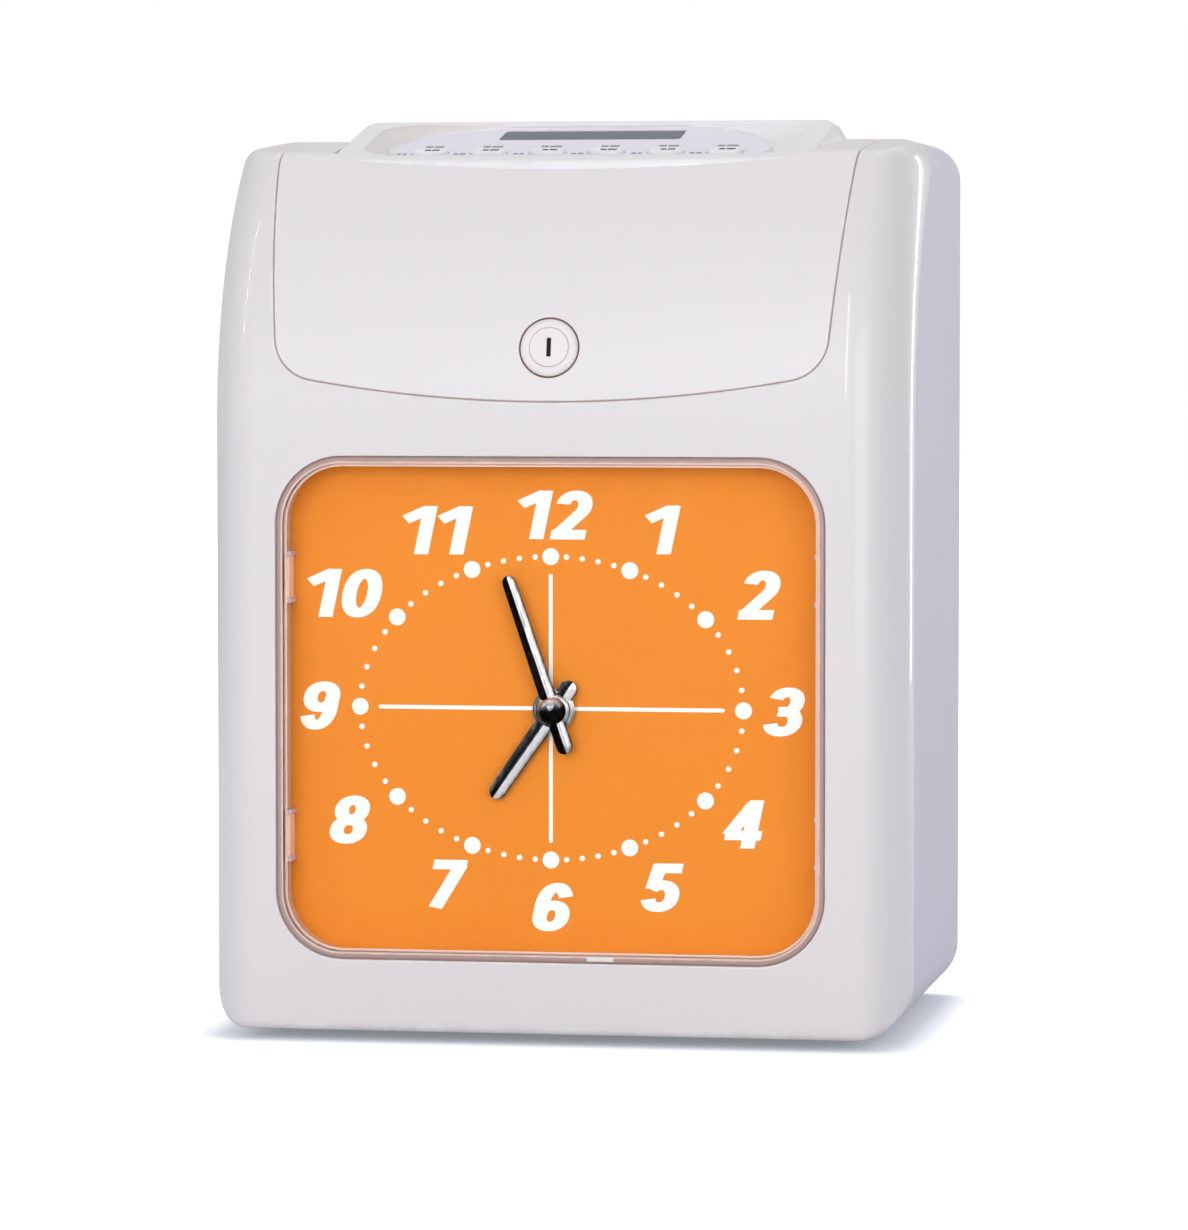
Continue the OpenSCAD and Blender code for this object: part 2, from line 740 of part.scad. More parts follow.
module minute_arbor() {
    color("goldenrod") at_front() rod_yy(dial_y - 5, dial_y + dial_t + 11.5, 0, dial_zc, arbor_r);
}
module hand_cap() {
    color("dimgray") at_front() translate([0, dial_y - 5.05, dial_zc]) rotate([90, 0, 0]) rotate_extrude()
        intersection() {
            translate([0, -3.4]) circle(5.3);
            square([4.1, 2]);
        }
}

// Print mechanism
module chassis() {
    color("silver") at_front() difference() {
        union() {
            block(-cha_x, cha_x, cha_y0, cha_y1, cha_z0, cha_z0 + plate_t);
            both() block(cha_x - plate_t, cha_x, cha_y0, cha_y1, cha_z0, cha_z1);
            block(-cha_x, cha_x, cha_y1 - plate_t, cha_y1, cha_z1 - 22, cha_z1);
            block(-cha_x, cha_x, belt_y - 14, belt_y + 12, motor_shelf_z, motor_shelf_z + plate_t);
            block(-cha_x, cha_x, cha_y0, 72, tray_z, tray_z + plate_t);
        }
        along_x(-cha_x - 1, cha_x + 1) translate([93, 75]) rrect(46, 90, 12);
        both() for (z = [rod_z1, rod_z2]) rod_x(60, 80, rod_y, z, shaft_r + 0.03);
        rod_x(-80, 80, feed_y, feed_z, 3 + run);
        rod_x(-80, 80, pinch_y, feed_z, 2 + run);
        rod_x(60, 80, feed_y, pinion_z, 5);
        for (x = [-pulley_x, pulley_x]) translate([x, belt_y, motor_shelf_z - 1]) cylinder(r = 2, h = 4);
        for (x = [-54, 54], y = [66, 120]) translate([x, y, cha_z0 - 1]) cylinder(r = 1.7, h = 4);
    }
}
module guide_shafts() {
    color("silver") at_front() for (z = [rod_z1, rod_z2]) rod_x(-cha_x - 2, cha_x + 2, rod_y, z, shaft_r);
}
module print_carriage() {
    color("dimgray") at_front() difference() {
        union() {
            block(-18, 18, rod_y - 8, rod_y + 8, rod_z1 - 7, rod_z1 + 7);
            block(-14, 14, rod_y - 8, rod_y - 2, rod_z1, rod_z2 + 6);
            both() block(9, 18, rod_y - 6, rod_y + 6, rod_z2 - 6, rod_z2 + 6);
            // foot that grips the belt
            block(-8, 8, belt_y + pulley_r - 2.4, belt_y + pulley_r + 3.4, belt_z - 0.8, rod_z1 - 6);
        }
        for (z = [rod_z1, rod_z2]) rod_x(-30, 30, rod_y, z, shaft_r + run);
        block(-20, 20, belt_y + pulley_r - 0.3, belt_y + pulley_r + 1.3, belt_z - 2, belt_z + 5.4);
    }
}
module print_head() {
    color("gray") at_front() {
        block(-13, 13, rod_y + 8.05, gap_f - guide_t - 5, rod_z1 - 2, rod_z1 + 17);
        along_x(-10, 10) polygon([[gap_f - guide_t - 5.5, print_z - 7], [gap_f - guide_t - 0.6, print_z - 4],
            [gap_f - guide_t - 0.6, print_z + 4], [gap_f - guide_t - 5.5, print_z + 7]]);
    }
}
module pulley(bore) {
    difference() {
        union() {
            linear_extrude(5) difference() {
                circle(pulley_r - 0.1);
                for (i = [0:17]) rotate(i * 20) translate([pulley_r, 0]) square([1.2, 0.9], center = true);
            }
            translate([0, 0, -1]) cylinder(r = pulley_r + 1.6, h = 0.9);
            translate([0, 0, 5.1]) cylinder(r = pulley_r + 1.6, h = 0.9);
            translate([0, 0, -1]) cylinder(r = pulley_r - 1.5, h = 7);
        }
        translate([0, 0, -3]) cylinder(r = bore, h = 14);
    }
}
module drive_pulley() {
    color("gold") at_front() translate([-pulley_x, belt_y, belt_z]) pulley(1.5 + run);
}
module idler_pulley() {
    color("gold") at_front() translate([pulley_x, belt_y, belt_z]) pulley(1.5 + run);
}
module belt() {
    color("dimgray") at_front() translate([0, belt_y, belt_z + 0.1]) linear_extrude(4.8) difference() {
        slot2d(2 * pulley_x + 2 * pulley_r + 2, 2 * pulley_r + 2);
        slot2d(2 * pulley_x + 2 * pulley_r + 0.2, 2 * pulley_r + 0.2);
    }
}
module carriage_motor() {
    color("gray") at_front() {
        translate([-pulley_x, belt_y, motor_shelf_z - 28]) cylinder(r = 14, h = 27.9);
        translate([-pulley_x, belt_y, motor_shelf_z - 4]) cylinder(r = 1.5, h = 15);
        translate([pulley_x, belt_y, motor_shelf_z - 2]) cylinder(r = 1.5, h = 13);
        translate([pulley_x, belt_y, motor_shelf_z - 2.2]) cylinder(r = 4, h = 2);
    }
}
module ribbon_cassette() {
    color("dimgray") at_front() difference() {
        union() {
            translate([0, 0, tray_z + plate_t + 0.1]) linear_extrude(23) translate([0, 57]) rrect(122, 24, 6);
            both() block(57, 61, 64, gap_f - guide_t - 0.4, rod_z1 + shaft_r + 0.5, print_z + 7);
        }
        both() block(50, 70, gap_f - guide_t - 1.7, gap_f - guide_t - 0.9, print_z - 5.4, print_z + 5.4);
        translate([-42, 57, tray_z + 6]) cylinder(r = 2.05, h = 30);
        translate([0, 57, tray_z + plate_t + 22.1]) linear_extrude(3) translate([14, 0]) rrect(70, 16, 3);
    }
}
module ribbon() {
    color("purple") at_front()
        block(-60.5, 60.5, gap_f - guide_t - 0.38, gap_f - guide_t - 0.2, print_z - 5, print_z + 5);
}
module ribbon_knob() {
    color("lightblue") at_front() translate([-42, 57, tray_z + plate_t + 23.4]) {
        linear_extrude(5) difference() {
            circle(7);
            for (i = [0:11]) rotate(i * 30) translate([7.4, 0]) circle(1, $fn = 24);
        }
        cylinder(r = 4, h = 7);
        translate([0, 0, -17]) cylinder(r = 2, h = 18);
    }
}

// Card path
module card_mouth() {
    color("gainsboro") at_front() difference() {
        union() {
            translate([0, card_y, zt + 0.05]) linear_extrude(1.3) rrect(card_w + 16, card_gap + 11, 5);
            block(-card_w / 2 - 4, card_w / 2 + 4, gap_f - 2.6, gap_b + 2.6, guide_z1 + 0.3, zt + 0.5);
        }
        block(-card_w / 2 - 0.5, card_w / 2 + 0.5, gap_f, gap_b, guide_z1 - 2, zt + 5);
        along_x(-card_w / 2 - 0.5, card_w / 2 + 0.5)
            polygon([[gap_f - 1.8, zt + 2], [gap_b + 1.8, zt + 2], [gap_b, zt - 3], [gap_f, zt - 3]]);
    }
}
module card_guide_front() {
    color("silver") at_front() difference() {
        union() {
            block(-card_w / 2 - 3, card_w / 2 + 3, gap_f - guide_t, gap_f, guide_z0, guide_z1);
            both() block(card_w / 2 + 1.8, cha_x - plate_t - 0.1, gap_f - guide_t, gap_f, 120, 150);
            both() block(cha_x - plate_t - 1.3, cha_x - plate_t - 0.1, gap_f - 10, gap_f, 120, 150);
        }
        along_y(0, 130) translate([0, print_z]) rrect(card_w - 4, 14, 3);
        along_y(0, 130) for (x = [-25, 25]) translate([x, feed_z]) rrect(15, 20, 2);
    }
}
module card_guide_rear() {
    color("silver") at_front() difference() {
        union() {
            block(-card_w / 2 - 3, card_w / 2 + 3, gap_b, gap_b + guide_t, guide_z0, guide_z1);
            both() block(card_w / 2 + 0.5, card_w / 2 + 1.7, gap_f + 0.1, gap_b + guide_t, guide_z0, guide_z1);
            block(-card_w / 2 - 1, card_w / 2 + 1, gap_f + 0.1, gap_b + guide_t, guide_z0, guide_z0 + guide_t);
            both() block(card_w / 2 + 1.8, cha_x - plate_t - 0.1, gap_b, gap_b + guide_t, 200, 230);
            both() block(cha_x - plate_t - 1.3, cha_x - plate_t - 0.1, gap_b, gap_b + 10, 200, 230);
        }
        along_y(0, 130) translate([0, print_z]) rrect(card_w - 6, 12, 2);
        along_y(gap_b - 1, 130) for (x = [-25, 25]) translate([x, feed_z]) rrect(15, 22, 2);
    }
}
module platen() {
    color("dimgray") at_front() {
        block(-card_w / 2 + 4, card_w / 2 - 4, gap_b + 0.2, gap_b + 6, print_z - 5, print_z + 5);
        block(-card_w / 2 - 2, card_w / 2 + 2, gap_b + guide_t + 0.1, gap_b + 6, print_z - 8, print_z + 8);
    }
}
module feed_shaft() {
    color("silver") at_front() rod_x(-cha_x - 2, gear_x + 7, feed_y, feed_z, 3);
}
module feed_tyres() {
    color("dimgray") at_front() for (x = [-31, 19]) difference() {
        rod_x(x, x + 12, feed_y, feed_z, tyre_r);
        rod_x(x - 1, x + 13, feed_y, feed_z, 3 + press);
    }
}
module feed_gear() {
    color("ivory") at_front() difference() {
        union() {
            translate([gear_x, feed_y, feed_z]) rotate([90, 0, 90]) linear_extrude(5)
                polygon(polar(gear_pts(gear_m, gear_n, 0.5)));
            rod_x(gear_x - 0.4, gear_x + 7, feed_y, feed_z, 6);
        }
        rod_x(gear_x - 2, gear_x + 9, feed_y, feed_z, 3 + press);
        for (a = [0:60:300]) translate([0, feed_y, feed_z]) rotate([a, 0, 0])
            rod_x(gear_x - 1, gear_x + 6, 11, 0, 3);
    }
}
module pinch_rollers() {
    color("dimgray") at_front() {
        rod_x(-cha_x - 1, cha_x + 1, pinch_y, feed_z, 2);
        for (x = [-30, 20]) rod_x(x, x + 10, pinch_y, feed_z, pinch_r);
    }
}
module feed_pinion() {
    color("ivory") at_front() difference() {
        union() {
            translate([gear_x, feed_y, pinion_z]) rotate([90, 0, 90]) linear_extrude(6)
                polygon(polar(gear_pts(gear_m, pinion_n, 1)));
            rod_x(gear_x - 0.4, gear_x + 8, feed_y, pinion_z, 4);
        }
        rod_x(gear_x - 2, gear_x + 12, feed_y, pinion_z, 1.5 + run);
    }
}
module feed_motor() {
    color("gray") at_front() {
        rod_x(cha_x - plate_t - 18, cha_x - plate_t - 0.1, feed_y, pinion_z, 14);
        rod_x(cha_x - 3, cha_x + 0.5, feed_y, pinion_z, 4.6);
        rod_x(cha_x - 3, gear_x + 7.6, feed_y, pinion_z, 1.5);
    }
}

// Electrics
module main_board() {
    color("green") at_front() difference() {
        block(-board_half, board_half, board_y, board_y + 1.6, board_z0, board_z1);
        for (p = board_at) rod_yy(board_y - 6, body_d, p[0], p[1], 1.6);
    }
}
module board_parts() {
    color("dimgray") at_front() {
        // spacers to the rear panel
        for (p = board_at) {
            rod_yy(board_y + 1.6, body_d - wall - 0.05, p[0], p[1], 3);
            rod_yy(board_y - 0.1, board_y + 2, p[0], p[1], 1.5);
        }
        // chips, a socket, capacitors and a buzzer
        block(-20, 20, board_y - 3, board_y - 0.05, 96, 110);
        block(30, 52, board_y - 2.5, board_y - 0.05, 120, 142);
        block(-56, -38, board_y - 5, board_y - 0.05, 76, 86);
        for (x = [-60, -46]) rod_yy(board_y - 7, board_y - 0.05, x, 130, 5);
        rod_yy(board_y - 5, board_y - 0.05, 50, 82, 6);
    }
}
module transformer() {
    color("gray") at_front() {
        block(-34, 34, 36, 55, zb + wall + 0.05, zb + wall + 2);
        block(-24, 24, 38, 53, zb + wall + 1.5, zb + wall + 42);
        block(-13, 13, 33.5, 57, zb + wall + 9, zb + wall + 34);
    }
}
module battery() {
    color("seagreen") at_front() for (i = [0:2])
        rod_yy(68, 116, hw - 19, zb + wall + 7.3 + i * 14.5, 7.2);
}
module power_inlet() {
    color("dimgray") at_front() difference() {
        union() {
            rod_yy(body_d - 14, body_d - 0.1, inlet_at[0], inlet_at[1], 6);
            rod_yy(body_d - wall - 1.6, body_d - wall - 0.1, inlet_at[0], inlet_at[1], 8);
        }
        rod_yy(body_d - 11, body_d + 1, inlet_at[0], inlet_at[1], 3);
    }
}

front_shell();
rear_housing();
rear_panel();
panel_screws();
feet();
top_cover();
hinge_pins();
lock_body();
lock_nut();
lock_plug();
lock_cam();
cam_screw();
console();
console_panel();
display();
display_board();
key_board();
button_1();
button_2();
button_3();
button_4();
button_5();
button_6();
lens();
dial();
dial_clips();
dial_screws();
clock_movement();
hour_hand();
hour_tube();
minute_hand();
minute_arbor();
hand_cap();
chassis();
guide_shafts();
print_carriage();
print_head();
drive_pulley();
idler_pulley();
belt();
carriage_motor();
ribbon_cassette();
ribbon();
ribbon_knob();
card_mouth();
card_guide_front();
card_guide_rear();
platen();
feed_shaft();
feed_tyres();
feed_gear();
pinch_rollers();
feed_pinion();
feed_motor();
main_board();
board_parts();
transformer();
battery();
power_inlet();
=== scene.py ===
# Punch card time clock, dressed over its solids.
# Forms are drawn in millimetres as (x, depth behind the front plane, height) and placed by set_down().
import math

import bmesh
import bpy
import numpy as np
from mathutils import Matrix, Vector
from mathutils.geometry import delaunay_2d_cdt


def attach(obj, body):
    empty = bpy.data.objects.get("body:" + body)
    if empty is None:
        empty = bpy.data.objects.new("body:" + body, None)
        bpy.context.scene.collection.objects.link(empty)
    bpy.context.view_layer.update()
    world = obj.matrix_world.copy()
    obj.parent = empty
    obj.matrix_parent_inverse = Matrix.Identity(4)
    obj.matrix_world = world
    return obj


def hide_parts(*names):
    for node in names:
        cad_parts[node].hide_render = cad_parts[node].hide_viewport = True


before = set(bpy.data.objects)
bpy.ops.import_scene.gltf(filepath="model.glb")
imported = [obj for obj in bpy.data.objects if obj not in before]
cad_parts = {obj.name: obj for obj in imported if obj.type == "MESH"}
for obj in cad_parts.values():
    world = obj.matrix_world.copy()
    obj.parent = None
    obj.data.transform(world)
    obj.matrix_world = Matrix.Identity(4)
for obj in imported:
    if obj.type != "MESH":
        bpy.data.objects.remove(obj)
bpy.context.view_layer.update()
scene = bpy.context.scene

MM = 0.001

# Housing: its front rolls over about a line at ROLL_Z, and its sides sweep back in a small and a large turn
HALF_DEPTH = 75.0
BACK = 150.0
FLOOR_Z = 3.0
WALL = 2.5
ROLL_Z = 182.0
ROLL_R = 120.0
SWEEP = 28.0
SMALL_C = (88.0, 12.0)
SMALL_R = 12.0
LARGE_C = (64.9, 28.0)
LARGE_R = 40.1
TURN = math.atan2(SMALL_C[0] - LARGE_C[0], LARGE_C[1] - SMALL_C[1])
SPAN = SMALL_C[0] + SMALL_R * TURN + LARGE_R * (math.pi / 2 - TURN)
SLOPE = math.radians(6.0)
SLOPE_D = 90.207
BROW_R = 16.0
BROW_D = ROLL_R - BROW_R
BROW_AT = math.atan2(66.19, 80.22)
BROW_END = math.atan2(82.10, 81.89)
LOW_CORNER = (91.0, 17.0)
LOW_CORNER_R = 14.0
HIGH_CORNER = (93.5, 257.0)
HIGH_CORNER_R = 11.5
# Cover and the seam along its lower edge
COVER_HALF = 82.4
COVER_HALF_Z = 209.0
FLARE = math.radians(5.0)
SEAM = 0.36
SEAM_ARC_R = 410.0
SEAM_ARC_Z = 599.8
SEAM_CORNER_R = 13.0
HINGE = (84.0, 265.5)
# Clock
WINDOW = (164.0, 149.0, 20.0)
WINDOW_Z = 99.0
DIAL_S = 12.0
DIAL_Z = 98.4
DIAL_SCREWS = [(x, WINDOW_Z + z) for x in (-88.3, 88.3) for z in (-69.0, 69.0)]
# Lock
LOCK_Z = 205.5
LOCK_TILT = math.asin((LOCK_Z - ROLL_Z) / ROLL_R)
# Console: its slope starts at RIM, v runs up the slope and a lift is square to it
RIM = (31.0, 261.2)
TILT = math.radians(12.5)
CONSOLE_LOW = 248.8
CONSOLE_HALF = 73.0
CONSOLE_WIDER = 4.5
WIDER_FROM = 58.0
WIDER_OVER = 30.0
CONSOLE_FRONT = 28.0
CONSOLE_BACK = 93.0
BACK_CORNER_R = 5.0
BOW_R = 640.0
FRONT_CORNER = (61.0, 42.97)
FRONT_CORNER_R = 12.0
PANEL_LIFT = -1.4
SUNK_LIFT = -2.4
BED_LIFT = -4.4
KEYS_X = [(i - 2.5) * 18.0 for i in range(6)]
KEY_V = 18.5
KEY_SIZE = (11.0, 6.5)
LCD_V = 47.5
LCD_SIZE = (56.0, 16.0, 1.5)
# Card slot in the flat top
SLOT = (96.8, 12.0, 1.5)
SLOT_S = 107.0
# The part of its range that a noise mostly stays in
NOISE_LOW = 0.3
NOISE_HIGH = 0.7


# Outlines

def rounded(w, h, r, cx=0.0, cz=0.0, n=10):
    pts = []
    for k, (sx, sz) in enumerate(((1, 1), (-1, 1), (-1, -1), (1, -1))):
        for i in range(n + 1):
            t = math.pi / 2 * (k + i / n)
            pts.append((cx + sx * (w / 2 - r) + r * math.cos(t), cz + sz * (h / 2 - r) + r * math.sin(t)))
    return np.array(pts)


def circle(r, cx=0.0, cz=0.0, n=48):
    t = np.linspace(0, 2 * math.pi, n, endpoint=False)
    return np.stack([cx + r * np.cos(t), cz + r * np.sin(t)], 1)


def stadium(w, h, cx=0.0, cz=0.0, n=12):
    return rounded(w, h, h / 2 - 1e-4, cx, cz, n)


def quarters(corners, n):
    """Quarter turns joined into one loop: each corner is (x, z, radius, first angle)."""
    pts = []
    for cx, cz, r, first in corners:
        for t in np.radians(np.linspace(first, first + 90, n)):
            pts.append((cx + r * math.cos(t), cz + r * math.sin(t)))
    return np.array(pts)


def fine(loop, step):
    """The closed loop with no side longer than step."""
    loop = np.asarray(loop, float)
    out = []
    for p, q in zip(loop, np.roll(loop, -1, 0)):
        n = max(1, int(math.ceil(np.linalg.norm(q - p) / step)))
        if np.linalg.norm(q - p) < 1e-6:
            continue
        out.extend(p + (q - p) * i / n for i in range(n))
    return np.array(out)


def inset(loop, d):
    """The loop moved to its left by d."""
    side = np.roll(loop, -1, 0) - loop
    nrm = np.stack([-side[:, 1], side[:, 0]], 1)
    nrm /= np.maximum(np.linalg.norm(nrm, axis=1), 1e-9)[:, None]
    both = nrm + np.roll(nrm, 1, 0)
    both /= np.maximum((both * both).sum(1) / 2, 0.7)[:, None]
    return loop + d * both


def inside(points, loops):
    hit = np.zeros(len(points), bool)
    x, y = points[:, 0], points[:, 1]
    for loop in loops:
        for p, q in zip(loop, np.roll(loop, -1, 0)):
            if p[1] == q[1]:
                continue
            cross = (p[1] > y) != (q[1] > y)
            hit ^= cross & (x < (q[0] - p[0]) * (y - p[1]) / (q[1] - p[1]) + p[0])
    return hit


def clear_of(points, loops, gap):
    """The points that lie inside the loops and further than gap from them."""
    points = points[inside(points, loops)]
    edge = np.concatenate(loops)
    keep = np.ones(len(points), bool)
    for i in range(0, len(points), 400):
        d = points[i:i + 400, None, :] - edge[None, :, :]
        keep[i:i + 400] = (d * d).sum(2).min(1) > gap * gap
    return points[keep]


def fill(loops, spots):
    """Triangles between the loops, through the spots; indices count the loops' points, then the spots."""
    pts = [Vector(p) for loop in loops for p in loop] + [Vector(p) for p in spots]
    edges = []
    base = 0
    for loop in loops:
        n = len(loop)
        edges.extend((base + i, base + (i + 1) % n) for i in range(n))
        base += n
    verts, _, faces, origin, _, _ = delaunay_2d_cdt(pts, edges, [], 0, 1e-9, True)
    flat = np.array([v[:] for v in verts])
    faces = [f for f in faces if len(set(f)) == 3 and all(origin[i] for i in f)]
    mid = np.array([flat[list(f)].mean(0) for f in faces])
    keep = inside(mid, loops)
    return [tuple(origin[i][0] for i in f) for f, k in zip(faces, keep) if k]


def square_to(surface, uv):
    """Unit vectors square to a surface at points of its own plane."""
    h = 0.02
    du = surface(uv + (h, 0)) - surface(uv - (h, 0))
    dv = surface(uv + (0, h)) - surface(uv - (0, h))
    n = np.cross(du, dv)
    return n / np.maximum(np.linalg.norm(n, axis=1), 1e-12)[:, None]


class Form:
    """Points in millimetres and the faces between them."""

    def __init__(self):
        self.points = []
        self.faces = []

    def add(self, points):
        start = len(self.points)
        self.points.extend(tuple(float(c) for c in p) for p in points)
        return list(range(start, len(self.points)))

    def strip(self, a, b):
        n = len(a)
        for i in range(n):
            j = (i + 1) % n
            self.faces.append((a[i], a[j], b[j], b[i]))

    def loft(self, rings, closed=False):
        """Joins rings of equal length; open ends are capped."""
        ids = [self.add(r) for r in rings]
        for a, b in zip(ids, ids[1:]):
            self.strip(a, b)
        if closed:
            self.strip(ids[-1], ids[0])
        else:
            self.faces.append(tuple(reversed(ids[0])))
            self.faces.append(tuple(ids[-1]))

    def block(self, x0, x1, s0, s1, z0, z1, r=0.3, turn=None):
        """A block with small rounded upright edges."""
        w, h = x1 - x0, z1 - z0
        r = min(r, w / 3, h / 3, (s1 - s0) / 3)
        plan = [(w - 2 * r, h - 2 * r, s0), (w, h, s0 + r), (w, h, s1 - r), (w - 2 * r, h - 2 * r, s1)]
        rings = []
        for a, b, s in plan:
            ring = rounded(a, b, r, (x0 + x1) / 2, (z0 + z1) / 2, 3)
            rings.append([(x, s, z) for x, z in ring])
        if turn is not None:
            rings = [turn(ring) for ring in rings]
        self.loft(rings)

    def turned(self, x, z, profile, n=48, turn=None, closed=False):
        """A turned form about a line that runs back from the front: profile is (radius, depth)."""
        t = np.linspace(0, 2 * math.pi, n, endpoint=False)
        rings = [[(x + max(r, 0.01) * math.cos(a), s, z + max(r, 0.01) * math.sin(a)) for a in t]
                 for r, s in profile]
        if turn is not None:
            rings = [turn(ring) for ring in rings]
        self.loft(rings, closed)

    def skin(self, loops, surface, thick, rounding, spots, outward=None):
        """A wall of one thickness on a surface, with rounded outer edges along every loop."""
        loops = [np.asarray(loop, float) for loop in loops]
        near = [inset(loop, rounding * 1.7) for loop in loops]
        spots = clear_of(np.asarray(spots, float), near, rounding * 1.2)
        tris = fill(near, spots)
        middle = surface(np.concatenate([np.concatenate(near), spots]))
        centre = np.array((0.0, HALF_DEPTH, 130.0)) if outward is None else np.asarray(outward, float)
        line = np.concatenate(near)
        sense = math.copysign(1.0, (square_to(surface, line) * (surface(line) - centre)).sum())

        def at(uv, depth):
            return surface(uv) - depth * sense * square_to(surface, uv)

        top = self.add(middle)
        start = 0
        low_edge = []
        for loop, line in zip(loops, near):
            last = top[start:start + len(loop)]
            start += len(loop)
            steps = [(rounding, 0.0)]
            for k in range(1, 5):
                t = math.pi / 8 * k
                steps.append((rounding * (1 - math.sin(t)), rounding * (1 - math.cos(t))))
            steps.append((0.0, thick))
            for d, depth in steps:
                ring = self.add(at(inset(loop, d), depth))
                self.strip(last, ring)
                last = ring
            low_edge.extend(last)
        low = low_edge + self.add(at(spots, thick))
        for a, b, c in tris:
            self.faces.append((top[a], top[b], top[c]))
            self.faces.append((low[c], low[b], low[a]))

    def printed(self, strokes, place, thick=0.06):
        """A flat print: the union of closed strokes, raised a little; place lays flat points at a lift."""
        pts = []
        edges = []
        for loop in strokes:
            base = len(pts)
            pts.extend(Vector(p) for p in loop)
            edges.extend((base + i, base + (i + 1) % len(loop)) for i in range(len(loop)))
        verts, _, faces, _, _, _ = delaunay_2d_cdt(pts, edges, [], 0, 1e-6, True)
        flat = np.array([v[:] for v in verts])
        mid = np.array([flat[list(f)].mean(0) for f in faces])
        keep = np.zeros(len(faces), bool)
        for loop in strokes:
            keep |= inside(mid, [np.asarray(loop)])
        faces = [tuple(f) for f, k in zip(faces, keep) if k]
        up = self.add(place(flat, thick))
        down = self.add(place(flat, 0.0))
        seen = {}
        for f in faces:
            for i in range(3):
                e = (f[i], f[(i + 1) % 3])
                seen.setdefault(tuple(sorted(e)), []).append(e)
            self.faces.append(tuple(up[i] for i in f))
            self.faces.append(tuple(down[i] for i in reversed(f)))
        for uses in seen.values():
            if len(uses) == 1:
                a, b = uses[0]
                self.faces.append((up[b], up[a], down[a], down[b]))


def to_metres(points):
    """Drawn points in the part's own frame."""
    return [(x * MM, (s - HALF_DEPTH) * MM, z * MM) for x, s, z in points]


def clean_mesh(name, points, faces, painted_light_bands=None):
    """A merged mesh with its faces outwards; the optional per-point values mark painted light and shade for a
    finish.
    """
    mesh = bpy.data.meshes.new(name)
    mesh.from_pydata(points, [], faces)
    bm = bmesh.new()
    bm.from_mesh(mesh)
    if painted_light_bands is not None:
        layer = bm.verts.layers.float.new("painted_light")
        for v, value in zip(bm.verts, painted_light_bands):
            v[layer] = value
    bmesh.ops.remove_doubles(bm, verts=bm.verts, dist=2e-7)
    bmesh.ops.delete(bm, geom=[v for v in bm.verts if not v.link_faces], context="VERTS")
    bmesh.ops.recalc_face_normals(bm, faces=bm.faces)
    mark_edges(bm)
    bm.to_mesh(mesh)
    bm.free()
    return mesh


def set_down(name, form, material, body, slot, *nodes, smooth=32.0, painted_light_bands=None):
    """The form as a finished piece in its place."""
    mesh = clean_mesh(name, to_metres(form.points), form.faces, painted_light_bands)
    return finish_piece(name, mesh, material, body, slot, *nodes, smooth=smooth)


def mark_edges(bm):
    """Stores how sharply each point stands out, for the rubbed edges of a finish."""
    layer = bm.verts.layers.float.new("edge")
    for v in bm.verts:
        turns = [e.calc_face_angle_signed(0.0) for e in v.link_edges if len(e.link_faces) == 2]
        turn = math.degrees(max(turns, default=0.0))
        v[layer] = min(max((turn - 9.0) / 12.0, 0.0), 1.0)


def finish_piece(name, mesh, material, body, slot, *nodes, smooth=32.0):
    mesh.polygons.foreach_set("use_smooth", [True] * len(mesh.polygons))
    mesh.set_sharp_from_angle(angle=math.radians(smooth))
    mesh.materials.clear()
    mesh.materials.append(material)
    piece = bpy.data.objects.new(name, mesh)
    scene.collection.objects.link(piece)
    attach(piece, body)
    if nodes:
        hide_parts(*nodes)
    return piece


# Finishes

def srgb(*levels):
    """A screen colour of 0 to 255 as a linear colour."""
    linear = []
    for level in levels:
        c = level / 255
        linear.append(c / 12.92 if level <= 10 else ((c + 0.055) / 1.055) ** 2.4)
    return tuple(linear) + (1.0,)


